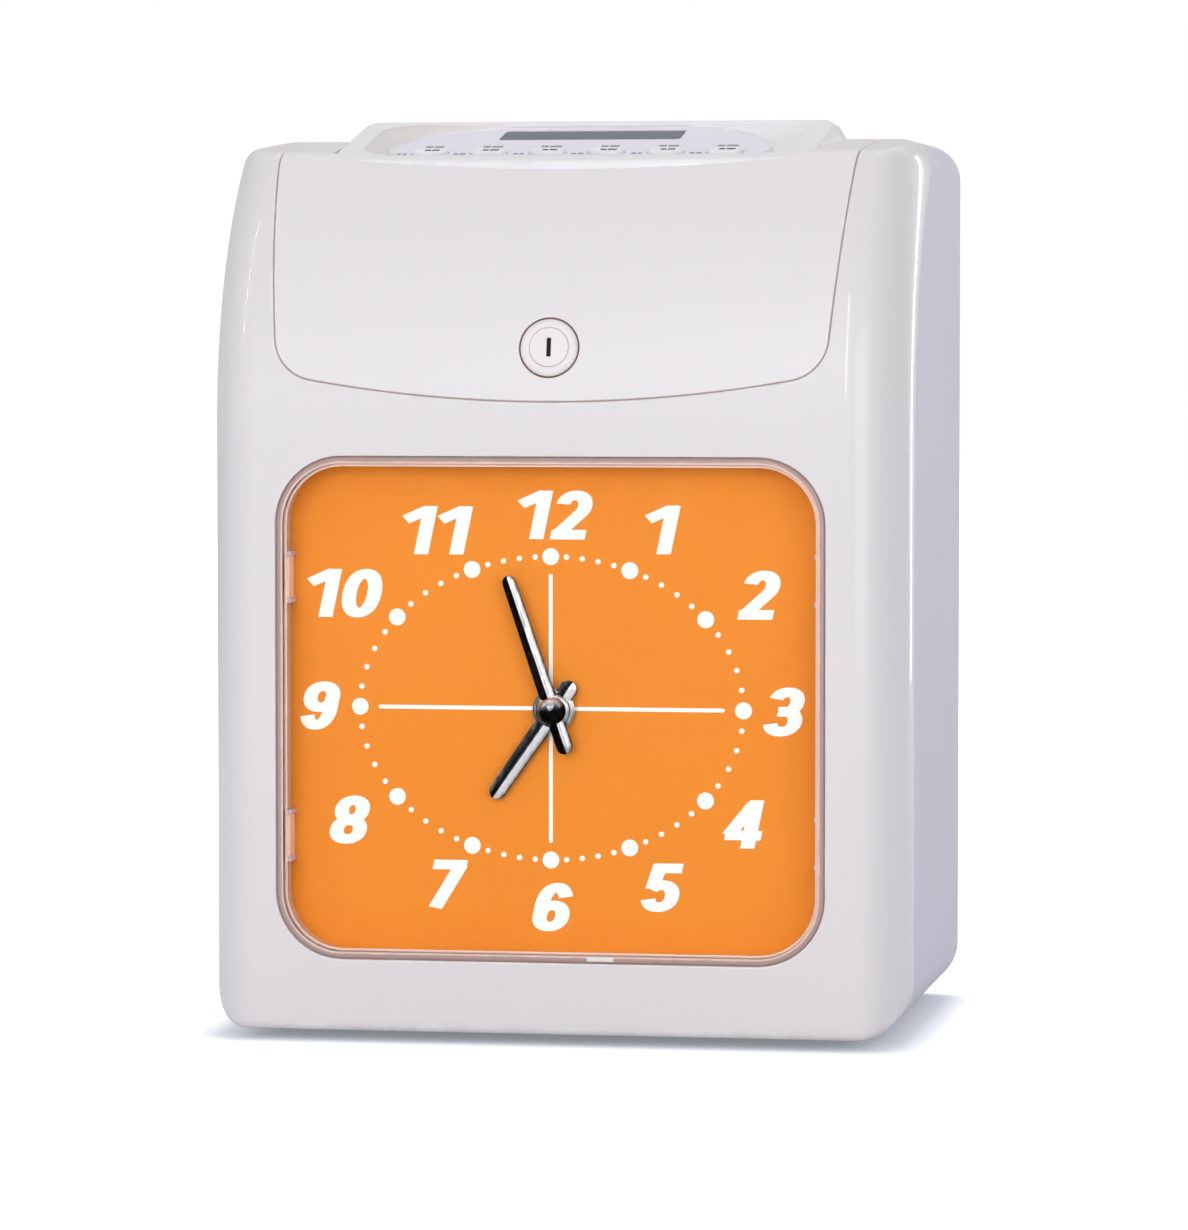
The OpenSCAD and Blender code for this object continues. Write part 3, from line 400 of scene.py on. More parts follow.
class Finish:
    """A material under construction: a shader fed by noises on the piece's own coordinates."""

    def __init__(self, name):
        self.material = bpy.data.materials.new(name)
        self.material.use_nodes = True
        self.tree = self.material.node_tree
        self.shader = self.tree.nodes["Principled BSDF"]
        self.place = self.tree.nodes.new("ShaderNodeTexCoord").outputs["Object"]

    def node(self, kind, **values):
        n = self.tree.nodes.new(kind)
        for key, value in values.items():
            setattr(n, key, value)
        return n

    def link(self, a, b):
        self.tree.links.new(a, b)

    def noise(self, scale, detail=3.0, rough=0.55, stretch=None):
        n = self.node("ShaderNodeTexNoise")
        n.inputs["Scale"].default_value = scale
        n.inputs["Detail"].default_value = detail
        n.inputs["Roughness"].default_value = rough
        source = self.place
        if stretch is not None:
            m = self.node("ShaderNodeMapping")
            m.inputs["Scale"].default_value = stretch
            self.link(source, m.inputs["Vector"])
            source = m.outputs["Vector"]
        self.link(source, n.inputs["Vector"])
        return n.outputs["Fac"]

    def ramp(self, fac, stops):
        n = self.node("ShaderNodeValToRGB")
        els = n.color_ramp.elements
        while len(els) < len(stops):
            els.new(0.5)
        for el, (at, colour) in zip(els, stops):
            el.position = at
            el.color = colour
        self.link(fac, n.inputs["Fac"])
        return n.outputs["Color"]

    def two_tone(self, fac, low, high):
        return self.ramp(fac, [(NOISE_LOW, low), (NOISE_HIGH, high)])

    def spread(self, fac, low, high):
        n = self.node("ShaderNodeMapRange")
        n.inputs["From Min"].default_value = NOISE_LOW
        n.inputs["From Max"].default_value = NOISE_HIGH
        n.inputs["To Min"].default_value = low
        n.inputs["To Max"].default_value = high
        self.link(fac, n.inputs["Value"])
        return n.outputs["Result"]

    def bump(self, height, distance, strength=1.0):
        n = self.node("ShaderNodeBump")
        n.inputs["Strength"].default_value = strength
        n.inputs["Distance"].default_value = distance
        self.link(height, n.inputs["Height"])
        return n.outputs["Normal"]

    def edge_wear(self, colour, worn):
        """Mixes in a worn colour on the edges that the mesh marks, broken up by a noise."""
        edge = self.node("ShaderNodeAttribute", attribute_name="edge")
        patch = self.ramp(self.noise(140.0, 2.0), [(0.4, (0.15, 0.15, 0.15, 1)), (0.62, (1, 1, 1, 1))])
        both = self.node("ShaderNodeMath", operation="MULTIPLY")
        self.link(edge.outputs["Fac"], both.inputs[0])
        self.link(patch, both.inputs[1])
        mix = self.node("ShaderNodeMix", data_type="RGBA")
        self.link(both.outputs[0], mix.inputs["Factor"])
        self.link(colour, mix.inputs["A"])
        mix.inputs["B"].default_value = worn
        return mix.outputs["Result"]

    def set(self, **values):
        for key, value in values.items():
            self.shader.inputs[key.replace("_", " ")].default_value = value

    def painted_light_band(self, jitter, scale=160.0, stretch=None):
        """The painted light and shade that the mesh marks on its points, broken a little by a noise."""
        painted_light = self.node("ShaderNodeAttribute", attribute_name="painted_light")
        both = self.node("ShaderNodeMath", operation="ADD")
        self.link(painted_light.outputs["Fac"], both.inputs[0])
        self.link(self.spread(self.noise(scale, 3.0, 0.6, stretch), -jitter, jitter), both.inputs[1])
        return both.outputs[0]

    def light_through(self):
        """Lets light pass on to what lies behind a clear piece."""
        path = self.node("ShaderNodeLightPath")
        through = self.node("ShaderNodeBsdfTransparent")
        mix = self.node("ShaderNodeMixShader")
        self.link(path.outputs["Is Shadow Ray"], mix.inputs[0])
        self.link(self.shader.outputs[0], mix.inputs[1])
        self.link(through.outputs[0], mix.inputs[2])
        self.link(mix.outputs[0], self.tree.nodes["Material Output"].inputs["Surface"])

    def feed(self, socket, source):
        self.link(source, self.shader.inputs[socket])


def tone(colour, k):
    return tuple(min(1.0, c * k) for c in colour[:3]) + (1.0,)


def moulded(name, colour, rough, grain, depth, coat=0.0, drift=0.03, worn=None):
    """Moulded plastic: slow drift of tone, fine moulding grain, uneven gloss and rubbed edges."""
    f = Finish(name)
    base = f.two_tone(f.noise(14.0, 2.0), tone(colour, 1 - drift), tone(colour, 1 + drift))
    if worn is not None:
        base = f.edge_wear(base, worn)
    f.feed("Base Color", base)
    f.feed("Roughness", f.spread(f.noise(900.0, 1.0), rough - 0.012, rough + 0.012))
    f.feed("Normal", f.bump(f.noise(grain, 2.0), depth))
    f.set(IOR=1.5)
    if coat:
        f.set(Coat_Weight=coat, Coat_Roughness=0.06)
    return f.material


def metal(name, colour, rough, scale, stretch=(1.0, 1.0, 1.0), drift=0.08):
    """Bare metal with fine drawn lines or a rolled grain."""
    f = Finish(name)
    grain = f.noise(scale, 3.0, 0.6, stretch)
    f.feed("Base Color", f.two_tone(grain, tone(colour, 1 - drift), tone(colour, 1 + drift)))
    f.feed("Roughness", f.spread(f.noise(90.0, 3.0), rough - 0.05, rough + 0.08))
    f.feed("Normal", f.bump(grain, 0.00002, 0.5))
    f.set(Metallic=1.0)
    return f.material


def clear_lens():
    """Clear moulded acrylic that lets the light through to the dial."""
    f = Finish("lens_clear")
    f.feed("Roughness", f.spread(f.noise(40.0, 2.0), 0.0, 0.03))
    f.feed("Normal", f.bump(f.noise(25.0, 1.0), 0.00003, 0.3))
    f.set(Base_Color=(1.0, 0.99, 0.98, 1.0), Transmission_Weight=1.0, IOR=1.06)
    f.light_through()
    return f.material


def hand_metal_painted_reflection():
    """Polished hand with painted reflections: the mesh paints one flank dark as mirrored shade and the ridge
    light as a painted highlight, with polish streaks.
    """
    f = Finish("hand_chrome")
    painted_light = f.painted_light_band(0.10, 500.0, (1.0, 1.0, 0.22))
    f.feed("Base Color", f.ramp(painted_light, [
        (0.0, (0.002, 0.002, 0.002, 1)), (0.3, (0.006, 0.006, 0.007, 1)), (0.45, (0.05, 0.05, 0.053, 1)),
        (0.6, (0.24, 0.24, 0.25, 1)), (0.8, (0.5, 0.5, 0.51, 1)), (1.0, (0.96, 0.96, 0.97, 1))]))
    f.feed("Roughness", f.spread(f.noise(900.0, 2.0, 0.5), 0.14, 0.26))
    f.feed("Normal", f.bump(f.noise(420.0, 3.0, 0.6, (1.0, 1.0, 0.25)), 0.00002, 0.4))
    f.set(Metallic=1.0)
    return f.material


def lens_rim_painted_light():
    """The wall of the clear lens painted as it looks from the front: its beige, grey and bright lines are
    painted reflections and highlights.
    """
    f = Finish("lens_rim")
    # The stops run from the wall's outer edge to its inner end; their light and dark lines are painted light,
    # not the acrylic's own colour.
    stops = [
        (0.0, (246, 243, 243)), (0.06, (222, 200, 192)), (0.13, (190, 156, 144)), (0.24, (182, 152, 146)),
        (0.34, (182, 158, 153)), (0.42, (236, 202, 189)), (0.5, (250, 218, 205)), (0.58, (228, 194, 181)),
        (0.68, (186, 175, 170)), (0.8, (182, 173, 169)), (0.92, (190, 178, 175)), (1.0, (216, 172, 140))]
    f.feed("Base Color", f.ramp(f.painted_light_band(0.025), [(at, srgb(*colour)) for at, colour in stops]))
    f.feed("Roughness", f.spread(f.noise(220.0, 2.0), 0.1, 0.22))
    f.feed("Normal", f.bump(f.noise(500.0, 2.0), 0.00002, 0.4))
    f.set(IOR=1.49, Coat_Weight=0.3, Coat_Roughness=0.05)
    f.light_through()
    return f.material


def console_white_painted_shade():
    """Satin white of the console, with painted shade: the sunk flank round its panel is painted a warmer grey
    towards its left end.
    """
    f = Finish("console_white")
    plain = f.two_tone(f.noise(14.0, 2.0), srgb(236, 234, 238), srgb(239, 237, 241))
    mix = f.node("ShaderNodeMix", data_type="RGBA")
    f.link(f.painted_light_band(0.04, 90.0), mix.inputs["Factor"])
    f.link(f.edge_wear(plain, srgb(247, 246, 248)), mix.inputs["A"])
    # The warmer grey mixed in here is painted shade on the recess flank.
    mix.inputs["B"].default_value = srgb(219, 213, 211)
    f.feed("Base Color", mix.outputs["Result"])
    f.feed("Roughness", f.spread(f.noise(900.0, 1.0), 0.288, 0.316))
    f.feed("Normal", f.bump(f.noise(1900.0, 2.0), 0.000004))
    f.set(IOR=1.5, Coat_Weight=0.3, Coat_Roughness=0.07)
    return f.material


def dial_card():
    """Bright printed orange card."""
    f = Finish("dial_orange")
    f.feed("Base Color", f.two_tone(f.noise(14.0, 2.0), srgb(213, 126, 39), srgb(215, 128, 40)))
    f.feed("Roughness", f.spread(f.noise(400.0, 2.0), 0.62, 0.72))
    f.feed("Normal", f.bump(f.noise(900.0, 2.0), 0.000001))
    f.set(IOR=1.5, Specular_IOR_Level=0.15)
    return f.material


shell_white = moulded("shell_white", srgb(227, 223, 225), rough=0.3, grain=1900.0, depth=0.000003, coat=0.5,
                      drift=0.002, worn=srgb(240, 238, 239))
# The cover is a few levels lighter than the front's same white plastic: painted light for its upward-facing
# top.
cover_white = moulded("cover_white", srgb(232, 228, 230), rough=0.3, grain=1900.0, depth=0.000003, coat=0.5,
                      drift=0.002, worn=srgb(243, 241, 242))
mouth_white = moulded("mouth_white", srgb(227, 223, 225), rough=0.36, grain=1900.0, depth=0.000004,
                      coat=0.2, drift=0.004)
# The housing is darker and bluer than the front's white: partly its own lavender-grey tone, partly painted
# shade and a painted bluish reflection on its sides.
housing_white = moulded("housing_white", srgb(214, 210, 225), rough=0.52, grain=1500.0, depth=0.00009,
                        drift=0.015, worn=srgb(232, 230, 238))
console_white = console_white_painted_shade()
panel_lilac = moulded("panel_lilac", srgb(229, 227, 239), rough=0.42, grain=1800.0, depth=0.00003,
                      drift=0.012)
key_white = moulded("key_white", srgb(240, 239, 243), rough=0.35, grain=1800.0, depth=0.00003, coat=0.1,
                    drift=0.012, worn=srgb(226, 224, 226))
dial_orange = dial_card()
print_white = moulded("print_white", srgb(235, 234, 232), rough=0.55, grain=900.0, depth=0.00001,
                      drift=0.01)
lock_enamel = moulded("lock_enamel", srgb(236, 232, 233), rough=0.3, grain=1500.0, depth=0.00001, coat=0.3,
                      drift=0.008, worn=srgb(226, 220, 220))
dark_plastic = moulded("dark_plastic", srgb(52, 52, 55), rough=0.48, grain=1300.0, depth=0.00005, drift=0.1,
                       worn=srgb(84, 84, 86))
rubber = moulded("rubber", srgb(38, 38, 40), rough=0.82, grain=700.0, depth=0.0001, drift=0.12,
                 worn=srgb(66, 65, 64))
gear_nylon = moulded("gear_nylon", srgb(232, 226, 208), rough=0.45, grain=900.0, depth=0.00004, drift=0.03,
                     worn=srgb(240, 236, 224))
board_green = moulded("board_green", srgb(34, 92, 58), rough=0.4, grain=500.0, depth=0.00004, coat=0.3,
                      drift=0.1, worn=srgb(150, 140, 90))
ribbon_ink = moulded("ribbon_ink", srgb(52, 38, 74), rough=0.78, grain=2600.0, depth=0.00008, drift=0.15)
cell_wrap = moulded("cell_wrap", srgb(48, 120, 84), rough=0.32, grain=600.0, depth=0.00002, coat=0.3,
                    drift=0.06, worn=srgb(96, 150, 120))
label_grey = moulded("label_grey", srgb(150, 148, 160), rough=0.6, grain=900.0, depth=0.00001, drift=0.05)
display_dark = moulded("display_dark", srgb(92, 98, 110), rough=0.3, grain=300.0, depth=0.000004,
                       drift=0.05)
display_dark.node_tree.nodes["Principled BSDF"].inputs["Specular IOR Level"].default_value = 0.12
steel = metal("steel", (0.62, 0.63, 0.65, 1.0), rough=0.35, stretch=(0.06, 1.0, 1.0), scale=700.0)
brass = metal("brass", (0.78, 0.60, 0.30, 1.0), rough=0.35, scale=500.0)
lens_clear = clear_lens()
lens_rim = lens_rim_painted_light()
clip_beige = moulded("clip_beige", srgb(230, 206, 196), rough=0.3, grain=900.0, depth=0.00001, coat=0.3,
                     drift=0.03)
card_grey = moulded("card_grey", srgb(196, 193, 188), rough=0.75, grain=900.0, depth=0.00003, drift=0.03)
nub_grey = moulded("nub_grey", srgb(186, 180, 196), rough=0.3, grain=900.0, depth=0.00001, coat=0.2,
                   drift=0.04)
# Warm grey-brown painted shade for the seam.
painted_seam_shade = moulded("painted_seam_shade", srgb(180, 158, 152), rough=0.7, grain=900.0, depth=0.00003, drift=0.08)
# Near-black painted shade for the key slot.
painted_keyway_shade = moulded("painted_keyway_shade", srgb(40, 22, 20), rough=0.7, grain=900.0, depth=0.00003, drift=0.3)
# Brown painted shade for the gap round the lock.
painted_gap_shade = moulded("painted_gap_shade", srgb(112, 74, 70), rough=0.6, grain=900.0, depth=0.00003, drift=0.12)
mark_grey = moulded("mark_grey", srgb(70, 68, 80), rough=0.6, grain=900.0, depth=0.00001, drift=0.05)
hand_chrome = hand_metal_painted_reflection()


# The rolled front, drawn on arc lengths: a across from the middle, q up from the table

def plan_at(a):
    """Sideways place and depth of the swept front plan at arc length a."""
    t = np.abs(a)
    turn = np.clip((t - SMALL_C[0]) / SMALL_R, 0, TURN)
    x = np.minimum(t, SMALL_C[0]) + SMALL_R * np.sin(turn)
    e = SMALL_R - SMALL_R * np.cos(turn)
    wide = TURN + (t - SMALL_C[0] - SMALL_R * TURN) / LARGE_R
    far = wide > TURN
    x = np.where(far, LARGE_C[0] + LARGE_R * np.sin(wide), x)
    e = np.where(far, LARGE_C[1] - LARGE_R * np.cos(wide), e)
    return np.sign(a) * x, e


def corner_rise(x, start, r):
    """How far a corner arc of radius r still stands off its centre at sideways place x."""
    return np.sqrt(np.maximum(0, r ** 2 - np.maximum(0, np.abs(x) - start) ** 2))


def low_edge(x):
    return LOW_CORNER[1] - corner_rise(x, LOW_CORNER[0], LOW_CORNER_R)


def high_edge(x):
    return HIGH_CORNER[1] + corner_rise(x, HIGH_CORNER[0], HIGH_CORNER_R)


def soft_min(a, b, k):
    h = np.maximum(k - np.abs(a - b), 0) / k
    return np.minimum(a, b) - h * h * k / 4


def reach(th):
    """How far the side view reaches from the roll's centre at angle th."""
    off = th - BROW_AT
    brow = BROW_D * np.cos(off) + np.sqrt(np.maximum(BROW_R ** 2 - (BROW_D * np.sin(off)) ** 2, 0))
    slope = SLOPE_D / np.sin(np.maximum(th, 0.2) + SLOPE)
    return np.where(th < BROW_AT, ROLL_R, np.where(th < BROW_END, brow, slope))


def foot_of(a):
    """Per arc length: place, depth, bottom edge, its rounding, and the length of the upright face."""
    x, e = plan_at(a)
    zb = low_edge(x)
    r = np.minimum(3.0, 0.9 * (SWEEP - e)) + 1e-6
    return x, e, zb, r, ROLL_Z - zb - r


def front_surface(uv):
    """Points of the outer front at (arc length across, arc length up)."""
    a, q = uv[:, 0], uv[:, 1]
    x, e, _, r, face = foot_of(a)
    down = np.maximum(ROLL_Z - q, 0)
    turn = np.clip((down - face) / r, 0, math.pi / 2)
    under = np.maximum(down - face - r * math.pi / 2, 0)
    s_low = e + r - r * np.cos(turn) + under
    z_low = ROLL_Z - np.minimum(down, face) - r * np.sin(turn)
    th = np.maximum(q - ROLL_Z, 0) / ROLL_R
    up = soft_min(ROLL_R - e, reach(th), np.clip(e * 0.9, 0.01, 6.0))
    lid = (high_edge(x) - ROLL_Z) / np.sin(np.maximum(th, 0.3))
    up = soft_min(up, lid, np.clip(e * 0.5, 0.6, 4.0))
    s_up = ROLL_R - up * np.cos(th)
    z_up = ROLL_Z + up * np.sin(th)
    high = q > ROLL_Z
    return np.stack([x, np.where(high, s_up, s_low), np.where(high, z_up, z_low)], 1)


MIDDLE_Q = np.linspace(ROLL_Z, ROLL_Z + ROLL_R * 1.3, 4000)
MIDDLE = front_surface(np.stack([np.zeros(4000), MIDDLE_Q], 1))


def q_at_height(z):
    return np.interp(z, MIDDLE[:, 2], MIDDLE_Q)


def q_at_depth(s):
    return np.interp(s, MIDDLE[:, 1], MIDDLE_Q)


def cover_line(off, top_q):
    """Right half of the cover's outline on the rolled front, from the middle of its low edge to top_q."""
    sr, fr = SEAM_ARC_R + off, SEAM_CORNER_R + off
    way = np.array((math.sin(FLARE), math.cos(FLARE)))
    nrm = np.array((-math.cos(FLARE), math.sin(FLARE)))
    edge = np.array((COVER_HALF, COVER_HALF_Z)) - off * nrm
    q = edge + fr * nrm - np.array((0, SEAM_ARC_Z))
    back = way @ q + math.sqrt((way @ q) ** 2 - q @ q + (sr - fr) ** 2)
    centre = q - back * way
    a0 = math.atan2(centre[1], centre[0])
    pts = []
    for t in np.linspace(-math.pi / 2, a0, 40):
        pts.append((sr * math.cos(t), SEAM_ARC_Z + sr * math.sin(t)))
    for t in np.linspace(a0, -FLARE, 14)[1:]:
        pts.append((centre[0] + fr * math.cos(t), SEAM_ARC_Z + centre[1] + fr * math.sin(t)))
    pts = [(x, float(q_at_height(z))) for x, z in pts]
    for q in np.linspace(pts[-1][1], top_q, 48)[1:]:
        z = front_surface(np.array([[0.0, q]]))[0, 2]
        pts.append((edge[0] + (z - edge[1]) * math.tan(FLARE), q))
    return pts


def rows(*runs):
    """Evenly stepped values of several runs, each (start, stop, step), in one list."""
    return [v for start, stop, step in runs for v in np.arange(start, stop, step)]


def across_steps():
    """Arc lengths across the front, closer together round the swept corners."""
    half = rows((0, 84, 4.0), (84, 101, 1.1), (101, SPAN, 2.4))
    return np.array([-v for v in reversed(half[1:])] + half)


def end_q(a):
    """Where the front ends at the top, at arc length a."""
    x, _ = plan_at(a)
    return ROLL_Z + ROLL_R * np.arcsin((high_edge(x) - ROLL_Z) / (ROLL_R - SWEEP))


def front_spots():
    """Inner points of the front, closer together where it turns."""
    spots = []
    for a in across_steps():
        _, _, _, r, face = (float(v[0]) for v in foot_of(np.array([a])))
        base = ROLL_Z - face
        arc = r * math.pi / 2
        tops = rows((base + 4, ROLL_Z, 4.0), (ROLL_Z, 262, 4.0), (262, 280, 1.0), (280, 345, 3.0))
        tops += [base, base + 1.2] + [base - arc * k / 5 for k in range(1, 6)]
        tops += rows((base - arc - 3, -30, -4.0))
        spots.extend((a, q) for q in tops)
    return np.array(spots)


def dial_posts(form):
    for x, z in DIAL_SCREWS:
        form.turned(x, z, [(3.2, 1.2), (3.2, 11.7), (2.9, 12.0), (1.3, 12.0), (1.1, 11.8), (1.1, 4.0)], 24)


def front_shell():
    form = Form()
    top_x = cover_line(SEAM, 300.0)[-1][0]
    bottom = []
    for a in np.sin(np.linspace(-math.pi / 2, math.pi / 2, 220)) * SPAN:
        _, e, _, r, face = (float(v[0]) for v in foot_of(np.array([a])))
        bottom.append((a, ROLL_Z - face - r * math.pi / 2 - (SWEEP - e - r)))
    side_top = float(end_q(np.array([SPAN]))[0])
    right = [(SPAN, q) for q in np.arange(bottom[-1][1] + 3, side_top - 1, 3.0)]
    close = SPAN - 0.05 * np.arange(1, 14) ** 1.6
    shoulder = np.concatenate([[SPAN], close, np.arange(SPAN - 5, top_x + 1, -1.5)])
    shoulder = [(a, float(end_q(np.array([a]))[0])) for a in shoulder if a > top_x + 0.6]
    top_q = float(end_q(np.array([top_x]))[0])
    opening = cover_line(SEAM, top_q)
    outer = bottom + right + shoulder + opening[::-1]
    outer += [(-x, q) for x, q in opening[1:]]
    outer += [(-a, q) for a, q in reversed(shoulder)] + [(-a, q) for a, q in reversed(right)]
    window = rounded(*WINDOW, 0.0, WINDOW_Z)[::-1]
    form.skin([fine(outer, 3.0), fine(window, 3.0)], front_surface, WALL, 0.5, front_spots())
    dial_posts(form)
    form.block(-9, 9, 1.4, 15, 185.5, 188.0)
    form.block(-9, 9, 12.5, 15, 185.5, 191.5)
    for m in (-1, 1):
        lo, hi = sorted((m * 88.4, m * 91.4))
        form.block(lo, hi, 76, 87, 259.5, 267.2)
        lo, hi = sorted((m * 100.3, m * 102.3))
        form.block(lo, hi, 18, 33, 40, 162)
    return set_down("front_shell_skin", form, shell_white, "housing", "shell_white", "front_shell")


def console_front(x, off):
    """Depth of the console's bowed front with rounded corners at sideways place x, grown by off."""
    r = FRONT_CORNER_R + off
    bowed = CONSOLE_FRONT + BOW_R - np.sqrt((BOW_R + off) ** 2 - x * x)
    t = np.clip(np.abs(x) - FRONT_CORNER[0], 0, r)
    corner = FRONT_CORNER[1] - np.sqrt(np.maximum(r ** 2 - t * t, 0))
    return np.where(np.abs(x) > FRONT_CORNER[0], np.maximum(bowed, corner), bowed)


def console_side(s, wider=CONSOLE_WIDER):
    """Half width of the console's plan at depth s."""
    return CONSOLE_HALF + wider * np.clip((s - WIDER_FROM) / WIDER_OVER, 0, 1)


def top_cover():
    form = Form()
    top_q = float(q_at_depth(HINGE[0]))
    right = cover_line(0.0, top_q)
    off = 0.6
    xs = np.concatenate([CONSOLE_HALF + off - 0.04 * np.arange(0, 16) ** 1.9, np.arange(64.5, 0, -3.0)])
    notch = [(float(console_side(s)) + off, float(q_at_depth(s))) for s in np.arange(84, 45, -2.0)]
    notch += [(x, float(q_at_depth(float(console_front(np.array(x), off))))) for x in xs]
    outer = right + notch
    outer += [(-x, q) for x, q in reversed(outer[1:])]
    lock_q = ROLL_Z + ROLL_R * LOCK_TILT
    hole = circle(9.0, 0.0, lock_q, 64)[::-1]
    ups = rows((188, 262, 4.0), (262, 280, 1.0), (280, 330, 3.0))
    spots = [(x, q) for x in np.arange(-88, 88.1, 4.0) for q in ups]
    spots += [tuple(p) for r in (10.6, 12.5) for p in circle(r, 0.0, lock_q, 40)]
    form.skin([fine(outer, 2.5), hole], front_surface, WALL, 0.42, np.array(spots))
    for m in (-1, 1):
        form.loft([[(m * x, s, z) for s, z in circle(r, *HINGE, 36)]
                   for x, r in ((78.1, 2.5), (78.6, 3.0), (86.8, 3.0), (87.3, 2.5))])
    return set_down("top_cover_skin", form, cover_white, "cover", "cover_white", "top_cover")


# Rear housing, drawn on a ring: round the outline, and outwards from front to back

def outline_points():
    """The housing's outline seen from the front, anticlockwise from the middle of its floor."""
    pts = [(0.0, FLOOR_Z), (LOW_CORNER[0], FLOOR_Z)]
    for (cx, cz), r, turns in ((LOW_CORNER, LOW_CORNER_R, np.linspace(-math.pi / 2, 0, 25)[1:]),
                               (HIGH_CORNER, HIGH_CORNER_R, np.linspace(0, math.pi / 2, 21))):
        pts.extend((cx + r * math.cos(t), cz + r * math.sin(t)) for t in turns)
    half = np.array(pts)
    return np.concatenate([half, half[::-1] * (-1, 1)])


def rear_housing():
    form = Form()
    line = outline_points()
    run = np.concatenate([[0], np.cumsum(np.linalg.norm(np.diff(line, axis=0), axis=1))])
    total = run[-1]
    ring_r = 58.0
    notch_r = 5.4

    def around(p):
        return np.interp(p, run, line[:, 0]), np.interp(p, run, line[:, 1])

    def to_ring(p, s):
        t = 2 * math.pi * np.asarray(p) / total
        r = np.asarray(s) + ring_r
        return np.stack([r * np.cos(t), r * np.sin(t)], -1)

    def surface(uv):
        s = np.hypot(uv[:, 0], uv[:, 1]) - ring_r
        p = (np.arctan2(uv[:, 1], uv[:, 0]) % (2 * math.pi)) / (2 * math.pi) * total
        x, z = around(p)
        return np.stack([x, s, z], 1)

    def parting(p):
        """Depth of the front edge: the line of the rolled front, with a notch round the console."""
        x, z = around(p)
        rise = np.maximum(z - ROLL_Z, 0)
        s = np.where(z > ROLL_Z, ROLL_R - np.sqrt((ROLL_R - SWEEP - 0.2) ** 2 - rise ** 2), SWEEP + 0.2)
        t = np.clip(np.abs(x) - 72.5, 0, notch_r)
        notch = 88.0 + np.sqrt(notch_r ** 2 - t * t)
        return np.where((z > 268) & (np.abs(x) < 77.8), np.maximum(s, notch), s)

    steps = np.unique(np.concatenate([np.arange(0, total, 2.5), run[:-1]]))
    corner = np.abs(around(steps)[0]) > LOW_CORNER[0]
    spots = []
    for p in steps[(np.arange(len(steps)) % 2 == 0) | corner]:
        first = float(parting(np.array([p]))[0])
        spots.extend(to_ring(p, s) for s in np.arange(first + 3, 148, 6.0))
    back = to_ring(steps, np.full(len(steps), BACK))
    front = to_ring(steps, parting(steps))[::-1]
    slot = [(total / 2 - x, s) for x, s in fine(rounded(*SLOT, 0.0, SLOT_S, 4), 3.0)]
    slot = np.array([to_ring(p, s) for p, s in slot])
    if ((np.roll(slot, -1, 0) - slot)[:, 1] * slot[:, 0]).sum() > 0:
        slot = slot[::-1]
    form.skin([back, front, slot], surface, WALL, 0.55, np.array(spots))
    form.block(-68, 68, 36, 96.4, 246.0, 248.5)
    form.block(-68, 68, 93.9, 96.4, 247.5, 266.5)
    for x, z in PANEL_SCREWS:
        form.turned(x, z, [(4.5, 126.0), (4.5, 147.0), (4.2, 147.3), (1.3, 147.3), (1.3, 134.0)], 24)
        lo, hi = sorted((x, math.copysign(103.8, x)))
        form.block(lo, hi, 126, 147.3, z - 1.2, z + 1.2)
    return set_down("rear_housing_skin", form, housing_white, "housing", "housing_white", "rear_housing")


# Clock face

def lens():
    """Clear front in a deep moulded wall; the wall carries painted light and shade in rings from its outside
    to its inside.
    """
    form = Form()
    w, h, r = 163.9, 148.9, 19.95
    base = fine(rounded(w, h, r, 0.0, 0.0, 16), 6.0)
    core = np.stack([np.sign(base[:, 0]) * (w / 2 - r), np.sign(base[:, 1]) * (h / 2 - r)], 1)
    core = np.where(np.abs(base) < np.abs(core), base, core)
    out = base - core
    out = out / np.maximum(np.linalg.norm(out, axis=1), 1e-6)[:, None]
    # The third value of each step is the painted light of its ring, read through the lens wall's colour
    # stops.
    steps = [(-2.1, 0.6, 0.47), (-1.7, 0.6, 0.40), (-1.3, 0.61, 0.32)]
    for k in range(1, 5):
        t = math.pi / 8 * k
        steps.append((-1.3 + 1.3 * math.sin(t), 0.6 + 1.3 * (1 - math.cos(t)), 0.30 - 0.07 * k))
    steps += [(0, 2.7, 0.0), (2.3, 2.7, 0.0), (2.5, 2.9, 0.0), (2.5, 4.0, 0.0), (2.3, 4.2, 0.0)]
    steps += [(0, 4.2, 0.0), (0, 11.6, 0.0), (-0.2, 11.8, 0.0), (-1.8, 11.8, 1.0), (-2.0, 11.6, 1.0)]
    for k in range(1, 9):
        steps.append((-2.0, 11.6 - k, 1.0 - 0.06 * k))
    for k in range(1, 4):
        t = math.pi / 6 * k
        steps.append((-3.0 + math.cos(t), 3.6 - math.sin(t), 0.52 - 0.02 * k))
    form.loft([[(x, depth, z + WINDOW_Z) for x, z in base + grow * out] for grow, depth, _ in steps])
    painted_light_bands = [painted_light for _, _, painted_light in steps for _ in base]
    piece = set_down("lens_tray", form, lens_rim, "housing", "lens_clear", "lens", painted_light_bands=painted_light_bands)
    piece.data.materials.append(lens_clear)
    for face in piece.data.polygons:
        if len(face.vertices) > 4:
            face.material_index = 1
    return piece


